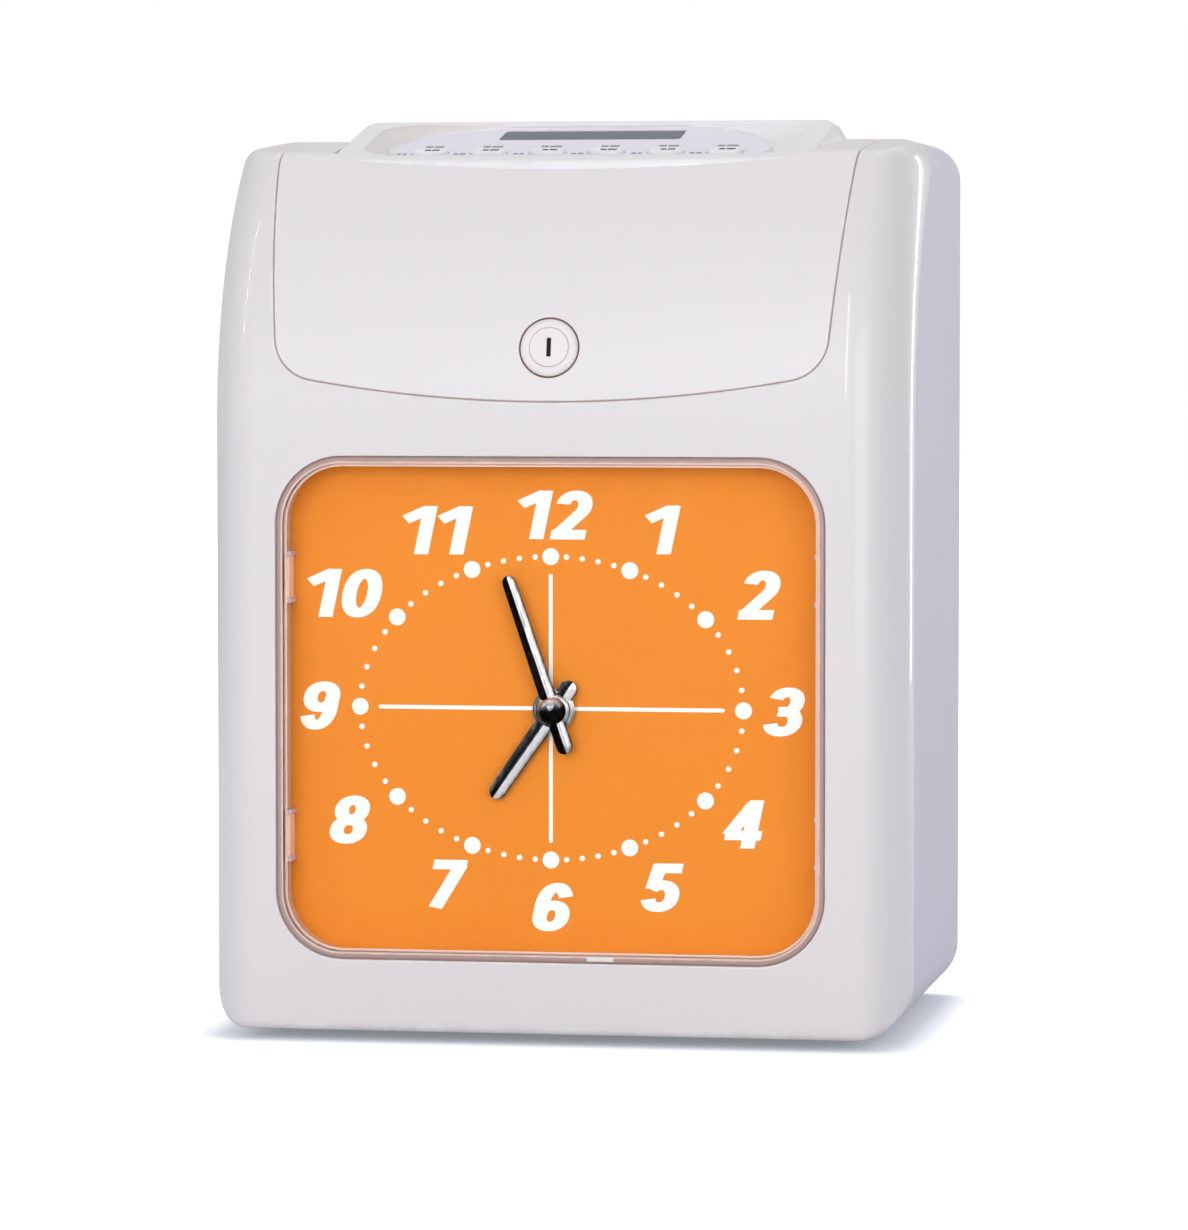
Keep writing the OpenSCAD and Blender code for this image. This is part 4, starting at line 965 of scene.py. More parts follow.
def dial():
    """Printed dial card: orange to the front, bare grey card to the back."""
    form = Form()

    def face(uv):
        return np.stack([uv[:, 0], np.full(len(uv), DIAL_S), uv[:, 1]], 1)

    holes = [circle(4.6, 0.0, DIAL_Z, 40)[::-1]] + [circle(1.6, x, z, 20)[::-1] for x, z in DIAL_SCREWS]
    spots = np.array([(x, z) for x in np.arange(-92, 93, 8.0) for z in np.arange(26, 174, 8.0)])
    outer = fine(rounded(193.0, 154.0, 14.0, 0.0, WINDOW_Z, 12), 6.0)
    form.skin([outer] + holes, face, 1.2, 0.12, spots)
    piece = set_down("dial_card", form, dial_orange, "housing", "dial_orange", "dial")
    piece.data.materials.append(card_grey)
    for side in piece.data.polygons:
        if side.normal.y > 0.5:
            side.material_index = 1
    return piece


def dial_clips():
    """Small moulded clips on the wall of the lens that hold the dial, and the grey nubs at their ends."""
    form = Form()
    nubs = Form()
    for m in (-1, 1):
        for z in (60.5, 137.4):
            lo, hi = sorted((m * 78.9, m * 79.75))
            form.block(lo, hi, 5.0, 11.95, z - 6.4, z + 6.4, 0.3)
            for end in (-1, 1):
                lo, hi = sorted((m * 78.3, m * 79.8))
                nubs.block(lo, hi, 4.2, 11.95, z + end * 7.0 - 0.75, z + end * 7.0 + 0.75, 0.3)
    set_down("dial_clip_nubs", nubs, nub_grey, "housing", "key_white")
    return set_down("dial_clips_moulded", form, clip_beige, "housing", "key_white", "dial_clips")


def lens_gate():
    """A small white tab on the lower edge of the lens: a painted glint where the lens edge catches the light.
    """
    form = Form()
    form.block(11.5, 19.5, 0.35, 1.2, 25.1, 26.5, 0.3)
    return set_down("lens_gate", form, print_white, "housing", "lens_clear")


PEN = 0.1
PEN_WIDE = 0.142 / PEN
LETTER_WIDE = 1.05


def bow(cx, cz, rx, rz, t0, t1, n=26, full=2.25):
    """Part of a squarish oval, as a centre line."""
    pts = []
    for t in np.radians(np.linspace(t0, t1, n)):
        c, s = math.cos(t), math.sin(t)
        x = cx + rx * math.copysign(abs(c) ** (2 / full), c)
        pts.append((x, cz + rz * math.copysign(abs(s) ** (2 / full), s)))
    return pts


DIGITS = {
    "0": [("o", bow(0.37, 0.5, 0.25, 0.405, 0, 360, 60))],
    "1": [("l", [(0.355, 0.0), (0.355, 1.0)]), ("l", [(0.33, 0.935), (-0.09, 0.715)])],
    "2": [("l", bow(0.345, 0.69, 0.22, 0.215, 172, -32) + [(0.15, 0.12)]),
          ("l", [(0.0, 0.095), (0.69, 0.095)])],
    "3": [("l", bow(0.33, 0.705, 0.215, 0.2, 165, -88)), ("l", bow(0.335, 0.3, 0.24, 0.205, 88, -168)),
          ("l", [(0.2, 0.505), (0.36, 0.505)])],
    "4": [("l", [(0.49, 0.0), (0.49, 1.0)]), ("l", [(0.0, 0.27), (0.72, 0.27)]),
          ("l", [(0.45, 0.93), (0.07, 0.27)])],
    "5": [("l", [(0.13, 0.905), (0.67, 0.905)]), ("l", [(0.215, 0.99), (0.15, 0.47)]),
          ("l", bow(0.335, 0.325, 0.235, 0.23, 148, -165))],
    "6": [("o", bow(0.35, 0.315, 0.225, 0.22, 0, 360, 48)), ("l", bow(0.36, 0.5, 0.235, 0.405, 205, 28, 40))],
    "7": [("l", [(0.03, 0.905), (0.70, 0.905)]), ("l", [(0.585, 0.9), (0.24, 0.0)])],
    "8": [("o", bow(0.35, 0.29, 0.232, 0.195, 0, 360, 44)), ("o", bow(0.35, 0.71, 0.208, 0.195, 0, 360, 44))],
}
DIGITS["9"] = [(kind, [(0.70 - x, 1.0 - z) for x, z in pts]) for kind, pts in DIGITS["6"]]


def pen_strokes(kind, pts):
    """Closed outlines of a pen line, in short overlapping lengths, the pen wider than it is high."""
    pts = np.array(pts, float) / (PEN_WIDE, 1.0)
    if kind == "o":
        pts = np.concatenate([pts[:-1], pts[:1]])
    way = np.gradient(pts, axis=0)
    if kind == "o":
        way[0] = way[-1] = pts[1] - pts[-2]
    way /= np.linalg.norm(way, axis=1)[:, None]
    nrm = np.stack([-way[:, 1], way[:, 0]], 1) * PEN
    left, right = pts + nrm, pts - nrm
    out = []
    for i in range(len(pts) - 1):
        out.append(np.array([left[i], left[i + 1], right[i + 1], right[i]]) * (PEN_WIDE, 1.0))
    return out


def numeral(text, height, slant=0.21):
    """Outlines of a number centred on the origin."""
    strokes = []
    x = 0.0
    for ch, after in zip(text, text[1:] + " "):
        for kind, pts in DIGITS[ch]:
            for loop in pen_strokes(kind, pts):
                loop = loop + (x, 0.0)
                leaning = loop[:, 0] * LETTER_WIDE + slant * loop[:, 1]
                strokes.append(np.stack([leaning, loop[:, 1]], 1) * height)
        x += 0.71 if after == "1" else 0.63
    everything = np.concatenate(strokes)
    middle = (everything.min(0) + everything.max(0)) / 2
    return [loop - middle for loop in strokes]


NUMERALS_AT = {
    "12": (1.3, 57.4), "1": (33.5, 53.2), "2": (62.1, 34.1), "3": (69.6, -0.2),
    "4": (57.6, -33.5), "5": (33.4, -52.7), "6": (0.5, -59.0), "7": (-31.0, -52.8),
    "8": (-60.9, -33.9), "9": (-69.8, 0.1), "10": (-62.3, 33.8), "11": (-34.0, 52.7)}
PRINT_AT = (-1.2, 0.4)


def on_dial(cx, cz):
    def place(flat, lift):
        return [(PRINT_AT[0] + cx + x, DIAL_S - lift, DIAL_Z + PRINT_AT[1] + cz + z) for x, z in flat]
    return place


def dial_numbers():
    form = Form()
    for text, (x, z) in NUMERALS_AT.items():
        form.printed(numeral(text, 14.3), on_dial(x, z))
    return set_down("dial_numbers", form, print_white, "housing", "dial_orange")


def dial_lines():
    form = Form()
    form.printed([rounded(104.0, 1.15, 0.5, 0, 0, 4), rounded(1.15, 79.8, 0.5, 0, 0, 4)], on_dial(0, 0))
    return set_down("dial_lines", form, print_white, "housing", "dial_orange")


# Geometry Nodes

def tree_with(name, inputs):
    tree = bpy.data.node_groups.new(name, "GeometryNodeTree")
    tree.interface.new_socket("Places", in_out="INPUT", socket_type="NodeSocketGeometry")
    for label, kind in inputs:
        tree.interface.new_socket(label, in_out="INPUT", socket_type=kind)
    tree.interface.new_socket("Pieces", in_out="OUTPUT", socket_type="NodeSocketGeometry")
    return tree, tree.nodes.new("NodeGroupInput"), tree.nodes.new("NodeGroupOutput")


def grow_tree(name, tree, places, values):
    """Runs a tree on points in metres and gives the plain mesh."""
    seed = bpy.data.meshes.new(name + "_places")
    seed.from_pydata(places, [], [])
    holder = bpy.data.objects.new(name + "_places", seed)
    scene.collection.objects.link(holder)
    mod = holder.modifiers.new("places", "NODES")
    mod.node_group = tree
    sockets = {s.name: s.identifier for s in tree.interface.items_tree if s.in_out == "INPUT"}
    for label, value in values.items():
        mod[sockets[label]] = value
    dg = bpy.context.evaluated_depsgraph_get()
    mesh = bpy.data.meshes.new_from_object(holder.evaluated_get(dg))
    bpy.data.objects.remove(holder)
    bpy.data.meshes.remove(seed)
    return mesh


def dial_dots():
    """Sixty dots on the oval: every fifth one large."""
    tree, given, result = tree_with("minute_dots", [
        ("Large radius", "NodeSocketFloat"), ("Small radius", "NodeSocketFloat"),
        ("Print height", "NodeSocketFloat"), ("Large every", "NodeSocketInt"), ("Ink", "NodeSocketMaterial")])
    nodes, links = tree.nodes, tree.links
    index = nodes.new("GeometryNodeInputIndex")
    rest = nodes.new("FunctionNodeIntegerMath")
    rest.operation = "MODULO"
    links.new(index.outputs[0], rest.inputs[0])
    links.new(given.outputs["Large every"], rest.inputs[1])
    fifth = nodes.new("FunctionNodeCompare")
    fifth.data_type = "INT"
    fifth.operation = "EQUAL"
    links.new(rest.outputs[0], [s for s in fifth.inputs if s.identifier == "A_INT"][0])
    other = nodes.new("FunctionNodeBooleanMath")
    other.operation = "NOT"
    links.new(fifth.outputs[0], other.inputs[0])
    join = nodes.new("GeometryNodeJoinGeometry")
    for radius, pick, corners in (("Large radius", fifth, 32), ("Small radius", other, 16)):
        dot = nodes.new("GeometryNodeMeshCylinder")
        dot.inputs["Vertices"].default_value = corners
        links.new(given.outputs[radius], dot.inputs["Radius"])
        links.new(given.outputs["Print height"], dot.inputs["Depth"])
        lay = nodes.new("GeometryNodeInstanceOnPoints")
        lay.inputs["Rotation"].default_value = (math.pi / 2, 0, 0)
        links.new(given.outputs["Places"], lay.inputs["Points"])
        links.new(pick.outputs[0], lay.inputs["Selection"])
        links.new(dot.outputs["Mesh"], lay.inputs["Instance"])
        links.new(lay.outputs[0], join.inputs[0])
    real = nodes.new("GeometryNodeRealizeInstances")
    ink = nodes.new("GeometryNodeSetMaterial")
    links.new(join.outputs[0], real.inputs[0])
    links.new(real.outputs[0], ink.inputs["Geometry"])
    links.new(given.outputs["Ink"], ink.inputs["Material"])
    links.new(ink.outputs[0], result.inputs[0])
    print_height = 0.06
    half_wide, half_tall = 57.6, 45.0
    places = []
    for i in range(60):
        t = math.radians(i * 6)
        r = 1 / math.sqrt((math.sin(t) / half_wide) ** 2 + (math.cos(t) / half_tall) ** 2)
        x, z = PRINT_AT[0] + r * math.sin(t), DIAL_Z + PRINT_AT[1] + r * math.cos(t)
        places.append((x, DIAL_S - print_height / 2, z))
    mesh = grow_tree("dial_dots", tree, to_metres(places), {
        "Large radius": 2.5 * MM, "Small radius": 0.8 * MM, "Print height": print_height * MM,
        "Large every": 5, "Ink": print_white})
    return finish_piece("dial_dots", mesh, print_white, "housing", "dial_orange")


def hand(name, body, node, at, length, root, tip, tail, hub, bore, back, edge, ridge, painted_edge_band, bright):
    """A ridged baton hand about the dial's middle: at is its clock angle, root and tip its widths."""
    form = Form()
    t = math.radians(at)

    def place(u, v, s):
        return (u * math.cos(t) + v * math.sin(t), s, DIAL_Z + v * math.cos(t) - u * math.sin(t))

    side = math.copysign(1.0, math.cos(t))
    painted_light_bands = []

    def baton(v0, v1, half0, half1, round_end):
        rings = []
        n = 15
        for i in range(n + 1):
            v = v0 + (v1 - v0) * (1 - (1 - i / n) ** 2)
            w = half0 + (half1 - half0) * abs(v - v0) / abs(v1 - v0)
            left = abs(v1 - v)
            if left < round_end:
                w *= math.sqrt(max(1 - (1 - left / round_end) ** 2, 0.02))
            lift = ridge + (edge - ridge) * (1 - w / half0) * 0.9
            # Each cross-section point carries painted light: a grey line at one edge, painted shade over that
            # flank, a painted highlight from the ridge across the other flank, and dark at its far edge.
            row = [(-1.0, back, 0.0), (-1.0, edge, painted_edge_band),
                   (-0.6, edge * 0.5 + lift * 0.5, painted_edge_band * 0.8),
                   (-0.12, lift, 0.12), (0.1, lift, bright - 0.1), (0.45, edge * 0.3 + lift * 0.7, bright),
                   (0.85, edge * 0.8 + lift * 0.2, bright - 0.3), (1.0, edge, 0.1), (1.0, back, 0.0)]
            rings.append([place(side * u * w, v, d) for u, d, _ in row])
            painted_light_bands.extend(painted_light for _, _, painted_light in row)
        form.loft(rings)

    baton(hub * 0.72, length, root / 2, tip / 2, tip / 2)
    baton(-hub * 0.72, -tail - root / 2, root / 2, root / 2, root / 2)
    profile = [(bore, back), (hub - 0.3, back), (hub, back - 0.2), (hub, edge + 0.1), (hub - 0.5, edge - 0.2),
               (bore + 1.2, edge - 0.3), (bore + 0.2, edge - 0.3), (bore, edge - 0.1)]
    n = 40
    form.turned(0, DIAL_Z, profile, n, closed=True)
    # The hub is painted lighter on one side: a painted highlight.
    for _ in profile:
        painted_light_bands.extend(0.58 + 0.12 * math.cos(2 * math.pi * k / n - 0.5) for k in range(n))
    return set_down(name, form, hand_chrome, body, "hand_chrome", node, smooth=20.0, painted_light_bands=painted_light_bands)


def hand_cap():
    """Domed cap with painted light: a painted highlight arc along its upper edge, painted shade below."""
    form = Form()
    n = 40
    form.turned(0, DIAL_Z, [(0, 4.6), (1.0, 4.66), (1.9, 4.86), (2.7, 5.2), (3.4, 5.7), (3.9, 6.3),
                            (4.1, 6.7), (4.0, 6.95), (0, 6.95)], n)
    # Per ring, the painted highlight on the cap's upper side; the rest of the cap is painted dark.
    painted_highlight_rings = [0.45, 0.52, 0.62, 0.8, 1.0, 1.0, 0.85, 0.1, 0.0]
    dark = 0.14
    towards = [max(0.0, math.cos(2 * math.pi * k / n - 1.75)) ** 0.8 for k in range(n)]
    painted_light_bands = [dark + (top - dark) * near for top in painted_highlight_rings for near in towards]
    return set_down("hand_cap_dome", form, hand_chrome, "minute", "hand_chrome", "hand_cap",
                    smooth=50, painted_light_bands=painted_light_bands)


# Lock

def lock_turn(points):
    """Turns points drawn square to the front onto the lock's tilted axis."""
    c, s = math.cos(LOCK_TILT), math.sin(LOCK_TILT)
    out = []
    for x, d, z in points:
        dy, dz = d - ROLL_R, z
        out.append((x, ROLL_R + c * dy + s * dz, ROLL_Z - s * dy + c * dz))
    return out


def lock_body():
    form = Form()
    profile = [(5.85, -0.3), (5.95, -0.46), (6.2, -0.52), (7.0, -0.52), (7.7, -0.42), (8.2, -0.18),
               (8.5, 0.2), (8.62, 0.9), (8.7, 3.1), (10.4, 3.1), (10.7, 3.4), (10.7, 4.0), (10.4, 4.3),
               (8.7, 4.3), (8.7, 22.0), (5.85, 22.0)]
    form.turned(0, 0, profile, 64, lock_turn, True)
    return set_down("lock_barrel", form, lock_enamel, "cover", "lock_metal", "lock_body", smooth=45)


def lock_gap_shade():
    """Dark ring down in the gap between the lock and the cover: painted shade for the gap."""
    form = Form()
    form.turned(0, 0, [(8.5, 0.45), (9.05, 0.45), (9.05, 1.5), (8.5, 1.5)], 64, lock_turn, True)
    return set_down("lock_gap_ring", form, painted_gap_shade, "cover", "dark_plastic")


def keyway_shade():
    """Dark blocks inside the key slot: painted shade for the deep slot."""
    form = Form()
    form.block(-0.66, 0.66, 0.2, 7.0, -2.82, 2.82, 0.1, lock_turn)
    form.block(-0.66, -0.3, -0.3, 7.0, -2.82, 2.3, 0.05, lock_turn)
    return set_down("keyway_wards", form, painted_keyway_shade, "lock", "dark_plastic")


def lock_plug():
    form = Form()
    hole = fine(((-0.65, -2.8), (0.65, -2.8), (0.65, 2.8), (-0.65, 2.8)), 0.5)[::-1]

    def face(uv):
        r = np.hypot(uv[:, 0], uv[:, 1])
        return np.array(lock_turn(np.stack([uv[:, 0], -0.7 + 0.005 * r * r, uv[:, 1]], 1)))

    grid = np.arange(-5, 5.1, 0.9)
    spots = [(x, z) for x in grid for z in grid]
    form.skin([circle(5.8, 0, 0, 72), hole], face, 9.0, 0.16, spots, outward=lock_turn([(0, 30, 0)])[0])
    form.turned(0, 0, [(0, 8.0), (5.8, 8.0), (5.8, 22.4), (0, 22.4)], 48, lock_turn)
    form.block(-3, 3, 22, 25.2, -3, 3, 0.3, lock_turn)
    return set_down("lock_plug_turned", form, lock_enamel, "lock", "lock_metal", "lock_plug", smooth=40)


# Console

def console_place(x, v, lift):
    c, s = math.cos(TILT), math.sin(TILT)
    return (x, RIM[0] + c * v - s * lift, RIM[1] + s * v + c * lift)


def on_console(level):
    """Lays flat points on the console's slope at a level, raised by a lift."""
    def place(flat, lift):
        return [console_place(x, v, level + lift) for x, v in flat]
    return place


def console_outline(off, wider):
    """The console's plan, anticlockwise from the middle of its front, as (x, depth)."""
    r = FRONT_CORNER_R + off
    front = []
    for t in np.linspace(0, math.pi / 2 - 0.09, 14):
        front.append((FRONT_CORNER[0] + r * math.cos(t), FRONT_CORNER[1] - r * math.sin(t)))
    for x in np.arange(front[-1][0] - 3, 0, -4.0):
        front.append((x, float(console_front(np.array(x), off))))
    cs = CONSOLE_BACK - BACK_CORNER_R
    cx = CONSOLE_HALF - BACK_CORNER_R + wider
    r = BACK_CORNER_R + off
    back = [(float(console_side(s, wider)) + off, s) for s in np.arange(46, cs, 3.0)]
    for t in np.linspace(0, math.pi / 2, 10):
        back.append((cx + r * math.cos(t), cs + r * math.sin(t)))
    back += [(x, CONSOLE_BACK + off) for x in np.arange(66, 0, -4.0)]
    right = front[::-1] + back
    left = [(-x, s) for x, s in reversed(right)]
    return np.array([(0.0, CONSOLE_FRONT - off)] + right + [(0.0, CONSOLE_BACK + off)] + left)


def panel_outline(off, wide):
    """The sunk panel on the console's slope, as (x, v)."""
    half = 58.5 + wide
    near, far, v = 16.0, 34.5, 24.0
    corners = [(half - near, v, near + off, -90), (half - far, v, far + off, 0),
               (far - half, v, far + off, 90), (near - half, v, near + off, 180)]
    return fine(quarters(corners, 18), 4.0)


def recess_outline(off):
    """The edge of the hollow round the panel, squarer at its back corners, as (x, v)."""
    corners = [(50.7, 24.0, 16 + off, -90), (54.7, 48.0, 12 + off, 0),
               (-54.7, 48.0, 12 + off, 90), (-50.7, 24.0, 16 + off, 180)]
    return fine(quarters(corners, 18), 4.0)


def hit_outline(loop, middle, angles):
    """Where rays from the middle meet a loop."""
    out = []
    p = loop - middle
    q = np.roll(p, -1, 0)
    for t in angles:
        d = np.array((math.cos(t), math.sin(t)))
        n = np.array((-d[1], d[0]))
        a, b = p @ n, q @ n
        cut = np.where((a <= 0) != (b <= 0))[0]
        best = 0
        for i in cut:
            f = a[i] / (a[i] - b[i])
            best = max(best, float((p[i] + f * (q[i] - p[i])) @ d))
        out.append(middle + best * d)
    return np.array(out)


def flat_on_console(lift):
    def surface(uv):
        return np.array([console_place(x, v, lift) for x, v in uv])
    return surface


def key_loop(x, grow):
    return stadium(KEY_SIZE[0] + 2 * grow, KEY_SIZE[1] + 2 * grow, x, KEY_V, 10)


def panel_holes():
    """The display's window and the six key holes, clockwise."""
    window = fine(rounded(*LCD_SIZE, 0, LCD_V, 4), 3.0)[::-1]
    return [window] + [key_loop(x, 0.3)[::-1] for x in KEYS_X]


def console():
    """Console case: outer wall, rounded rim, hollow round the panel and the bed under it, in rings."""
    form = Form()
    c, s = math.cos(TILT), math.sin(TILT)
    middle = np.array((0.0, 60.0))
    angles = np.linspace(0, 2 * math.pi, 360, endpoint=False)

    def on_slope(x, d, lift):
        return console_place(x, (d - RIM[0] + s * lift) / c, lift)

    def plan_ring(off, wider, lift=None, z=None, slope=False):
        flat = hit_outline(fine(console_outline(off, wider), 1.5), middle, angles)
        ring = []
        for x, d in flat:
            low = lift
            if slope:
                low = min(lift, -max(0.0, abs(x) - CONSOLE_HALF - off) / 0.7 + lift * 0.6)
            ring.append((x, d, z) if z is not None else on_slope(x, d, low))
        return ring

    def sunk_ring(flat, lift):
        deep = np.stack([flat[:, 0], RIM[0] + c * flat[:, 1] - s * lift], 1)
        return [on_slope(x, d, lift) for x, d in hit_outline(deep, middle, angles)]

    wider = CONSOLE_WIDER
    rings = [plan_ring(0.0, wider, z=CONSOLE_LOW), plan_ring(0.0, wider, -1.5, slope=True)]
    for off, lift in ((-0.15, -0.8), (-0.5, -0.3), (-1.2, -0.04), (-1.8, 0.0)):
        rings.append(plan_ring(off, 0.0, lift))
    for off, lift in ((0.0, 0.0), (-0.5, -0.08), (-0.9, -0.35), (-1.3, -0.75)):
        rings.append(sunk_ring(recess_outline(off), lift))
    for off, wide, lift in ((0.5, 1.1, -1.95), (0.2, 0.45, -2.25), (0, 0, SUNK_LIFT), (0, 0, BED_LIFT)):
        rings.append(sunk_ring(panel_outline(off, wide), lift))
    rings += [plan_ring(-2.0, 0.0, BED_LIFT), plan_ring(-2.0, wider, -7.5)]
    rings.append(plan_ring(-2.0, wider, z=CONSOLE_LOW))
    form.loft(rings, closed=True)
    # The hollow's flank rings get painted shade, rising towards the left end of the console.
    painted_shade_rings = {7: 0.35, 8: 1.0, 9: 1.0, 10: 1.0, 11: 1.0, 12: 1.0}
    painted_light_bands = []
    for i, ring in enumerate(rings):
        painted_light_bands.extend(painted_shade_rings.get(i, 0.0) * min(max((-x - 24) / 36, 0.04), 0.95) for x, _, _ in ring)
    spots = np.array([(x, v) for x in np.arange(-60, 61, 4.0) for v in np.arange(6, 60, 4.0)])
    bed = SUNK_LIFT - BED_LIFT
    form.skin([panel_outline(0.5, 0.5)] + panel_holes(), flat_on_console(SUNK_LIFT), bed, 0.15, spots)
    posts = [(x, v, 2.4, -11.0) for x in (-57, 57) for v in (12.5, 24.5)]
    posts += [(x, v, 2.0, -4.9) for x in (-37, 37) for v in (34, 57)]
    for x, v, r, low in posts:
        form.loft([[console_place(px, pv, lift) for px, pv in circle(r, x, v, 20)] for lift in (-4.0, low)])
    return set_down("console_case", form, console_white, "housing", "console_lilac", "console",
                    smooth=38, painted_light_bands=painted_light_bands)


def console_panel():
    form = Form()
    spots = np.array([(x, v) for x in np.arange(-60, 61, 5.0) for v in np.arange(6, 60, 5.0)])
    form.skin([panel_outline(-0.2, 0.0)] + panel_holes(), flat_on_console(PANEL_LIFT), 1.0, 0.3, spots)
    return set_down("console_panel_plate", form, panel_lilac, "housing", "console_lilac", "console_panel")


def button(i):
    """One key with its collar, dished top, stem and printed legend."""
    form = Form()
    x = KEYS_X[i]
    form.loft([on_console(lift)(key_loop(x, grow), 0.0) for grow, lift in (
        (1.5, -5.9), (1.5, -4.75), (0, -4.75), (0, -0.9), (-0.12, -0.6), (-0.45, -0.38),
        (-1.1, -0.3), (-2.2, -0.42), (-2.9, -0.48))])
    form.loft([on_console(lift)(circle(2, x, KEY_V, 20), 0.0) for lift in (-8.2, -5.8)])
    name = "button_%d" % (i + 1)
    body = "key_%d" % (i + 1)
    set_down(name + "_cap", form, key_white, body, "key_white", name, smooth=40)
    legend = Form()
    legend.printed(dashes(x + 0.9, KEY_V - 0.9, (1.7, 2.2 + i % 2 * 0.5), 1.9), on_console(-0.52), 0.24)
    return set_down(name + "_legend", legend, mark_grey, body, "key_white")


def display():
    form = Form()

    def ring(w, h, r, lift):
        return [console_place(x, v, lift) for x, v in rounded(w, h, r, 0, LCD_V, 6)]

    form.loft([ring(55.7, 15.7, 1.35, -4.8), ring(55.7, 15.7, 1.35, -2.1), ring(55.3, 15.3, 1.2, -1.8)])
    return set_down("display_glass", form, display_dark, "housing", "display_dark", "display")


def panel_bead():
    """Bright raised bead round the panel."""
    form = Form()
    steps = [(-0.25, -1.5), (-0.28, -1.2), (-0.5, -1.02), (-0.9, -1.02), (-1.15, -1.2), (-1.2, -1.5)]
    form.loft([on_console(lift)(panel_outline(off, 0.0), 0.0) for off, lift in steps], closed=True)
    return set_down("panel_bead", form, key_white, "housing", "console_lilac")


def dashes(x, v, widths, tall):
    """A row of short printed bars about x."""
    at = x - (sum(widths) + 0.5 * (len(widths) - 1)) / 2
    out = []
    for w in widths:
        out.append(rounded(w, tall, 0.25, at + w / 2, v, 2))
        at += w + 0.5
    return out


def panel_marks():
    """Plain printed bars behind the keys and in front of them."""
    form = Form()
    for i, x in enumerate(KEYS_X):
        form.printed(dashes(x - 0.4, 28.4, (2.2, 2.8 + i % 3 * 0.4), 2.6), on_console(PANEL_LIFT), 0.05)
        form.printed(dashes(x - 3.8, 12.0, (1.2, 2.2), 2.2), on_console(PANEL_LIFT), 0.05)
    return set_down("panel_marks", form, label_grey, "housing", "console_lilac")


def panel_notes():
    """Plain printed bars beside the keys."""
    form = Form()
    for i, x in enumerate(KEYS_X):
        bars = dashes(x - 8.6, KEY_V - 1.6, (1.5, 1.2 + i % 2 * 0.5), 2.2)
        form.printed(bars, on_console(PANEL_LIFT), 0.05)
    return set_down("panel_notes", form, label_grey, "housing", "console_lilac")


def seam_strip():
    """Warm grey strip down in the seam between the cover and the front: painted shade for the dark seam."""
    form = Form()
    shallow, deep = 0.32, 1.2
    sides = []
    for off in (0.03, 0.33):
        half = cover_line(off, 322.0)
        line = np.array([(-x, q) for x, q in reversed(half)] + half[1:])
        on, up = front_surface(line), square_to(front_surface, line)
        sides.append((on - shallow * up, on - deep * up))
    (near_top, near_low), (far_top, far_low) = sides
    form.loft(list(zip(near_top, far_top, far_low, near_low)))
    return set_down("seam_strip", form, painted_seam_shade, "housing", "dark_plastic")


# Back, feet and small fasteners

def on_back(uv):
    return np.stack([uv[:, 0], np.full(len(uv), BACK), uv[:, 1]], 1)


PANEL_SCREWS = [(x, z) for x in (-95.0, 95.0) for z in (17.0, 255.0)]


def keyhole(x):
    """A round entry with a narrow neck above it, clockwise."""
    round_z, round_r = 182.0, 5.0
    neck_z, neck_r = 191.8, 2.2
    pts = []
    for t in np.linspace(math.radians(64), math.radians(-244), 40):
        pts.append((x + round_r * math.cos(t), round_z + round_r * math.sin(t)))
    for t in np.linspace(math.pi, 0, 14):
        pts.append((x + neck_r * math.cos(t), neck_z + neck_r * math.sin(t)))
    return np.array(pts)


def rear_panel():
    """Flat back with two rows of vents, wall keyholes, the inlet hole and sunk screw seats."""
    form = Form()
    play = 2.8
    low_r, high_r = LOW_CORNER_R - play, HIGH_CORNER_R - play
    outer = quarters([(LOW_CORNER[0], LOW_CORNER[1], low_r, -90), (HIGH_CORNER[0], HIGH_CORNER[1], high_r, 0),
                      (-HIGH_CORNER[0], HIGH_CORNER[1], high_r, 90),
                      (-LOW_CORNER[0], LOW_CORNER[1], low_r, 180)], 14)
    vents = [(30, 226), (24, 40)]
    holes = [stadium(tall, 3, 0, 0, 8)[:, ::-1] + (i * 8, z) for tall, z in vents for i in range(-5, 6)]
    holes += [keyhole(x) for x in (-60.0, 60.0)]
    holes += [circle(6.2, -80.0, 30.0, 40)[::-1]]
    holes += [circle(3.4, x, z, 32)[::-1] for x, z in PANEL_SCREWS]
    spots = np.array([(x, z) for x in np.arange(-100, 101, 8.0) for z in np.arange(8, 266, 8.0)])
    form.skin([fine(outer, 6.0)] + holes, on_back, WALL, 0.35, spots, outward=(0, 0, 130))
    for x, z in PANEL_SCREWS:
        form.turned(x, z, [(1.7, 148.55), (3.45, 148.55), (3.45, 147.5), (1.7, 147.5)], 32, closed=True)
    return set_down("rear_panel_plate", form, housing_white, "housing", "housing_white", "rear_panel")


def shape_tree():
    """Sets a copy of one shape on every place."""
    tree, given, result = tree_with("repeated_shape", [
        ("Shape", "NodeSocketObject"), ("Size", "NodeSocketFloat"), ("Finish", "NodeSocketMaterial")])
    nodes, links = tree.nodes, tree.links
    shape = nodes.new("GeometryNodeObjectInfo")
    links.new(given.outputs["Shape"], shape.inputs["Object"])
    lay = nodes.new("GeometryNodeInstanceOnPoints")
    links.new(given.outputs["Places"], lay.inputs["Points"])
    links.new(shape.outputs["Geometry"], lay.inputs["Instance"])
    links.new(given.outputs["Size"], lay.inputs["Scale"])
    real = nodes.new("GeometryNodeRealizeInstances")
    coat = nodes.new("GeometryNodeSetMaterial")
    links.new(lay.outputs[0], real.inputs[0])
    links.new(real.outputs[0], coat.inputs["Geometry"])
    links.new(given.outputs["Finish"], coat.inputs["Material"])
    links.new(coat.outputs[0], result.inputs[0])
    return tree


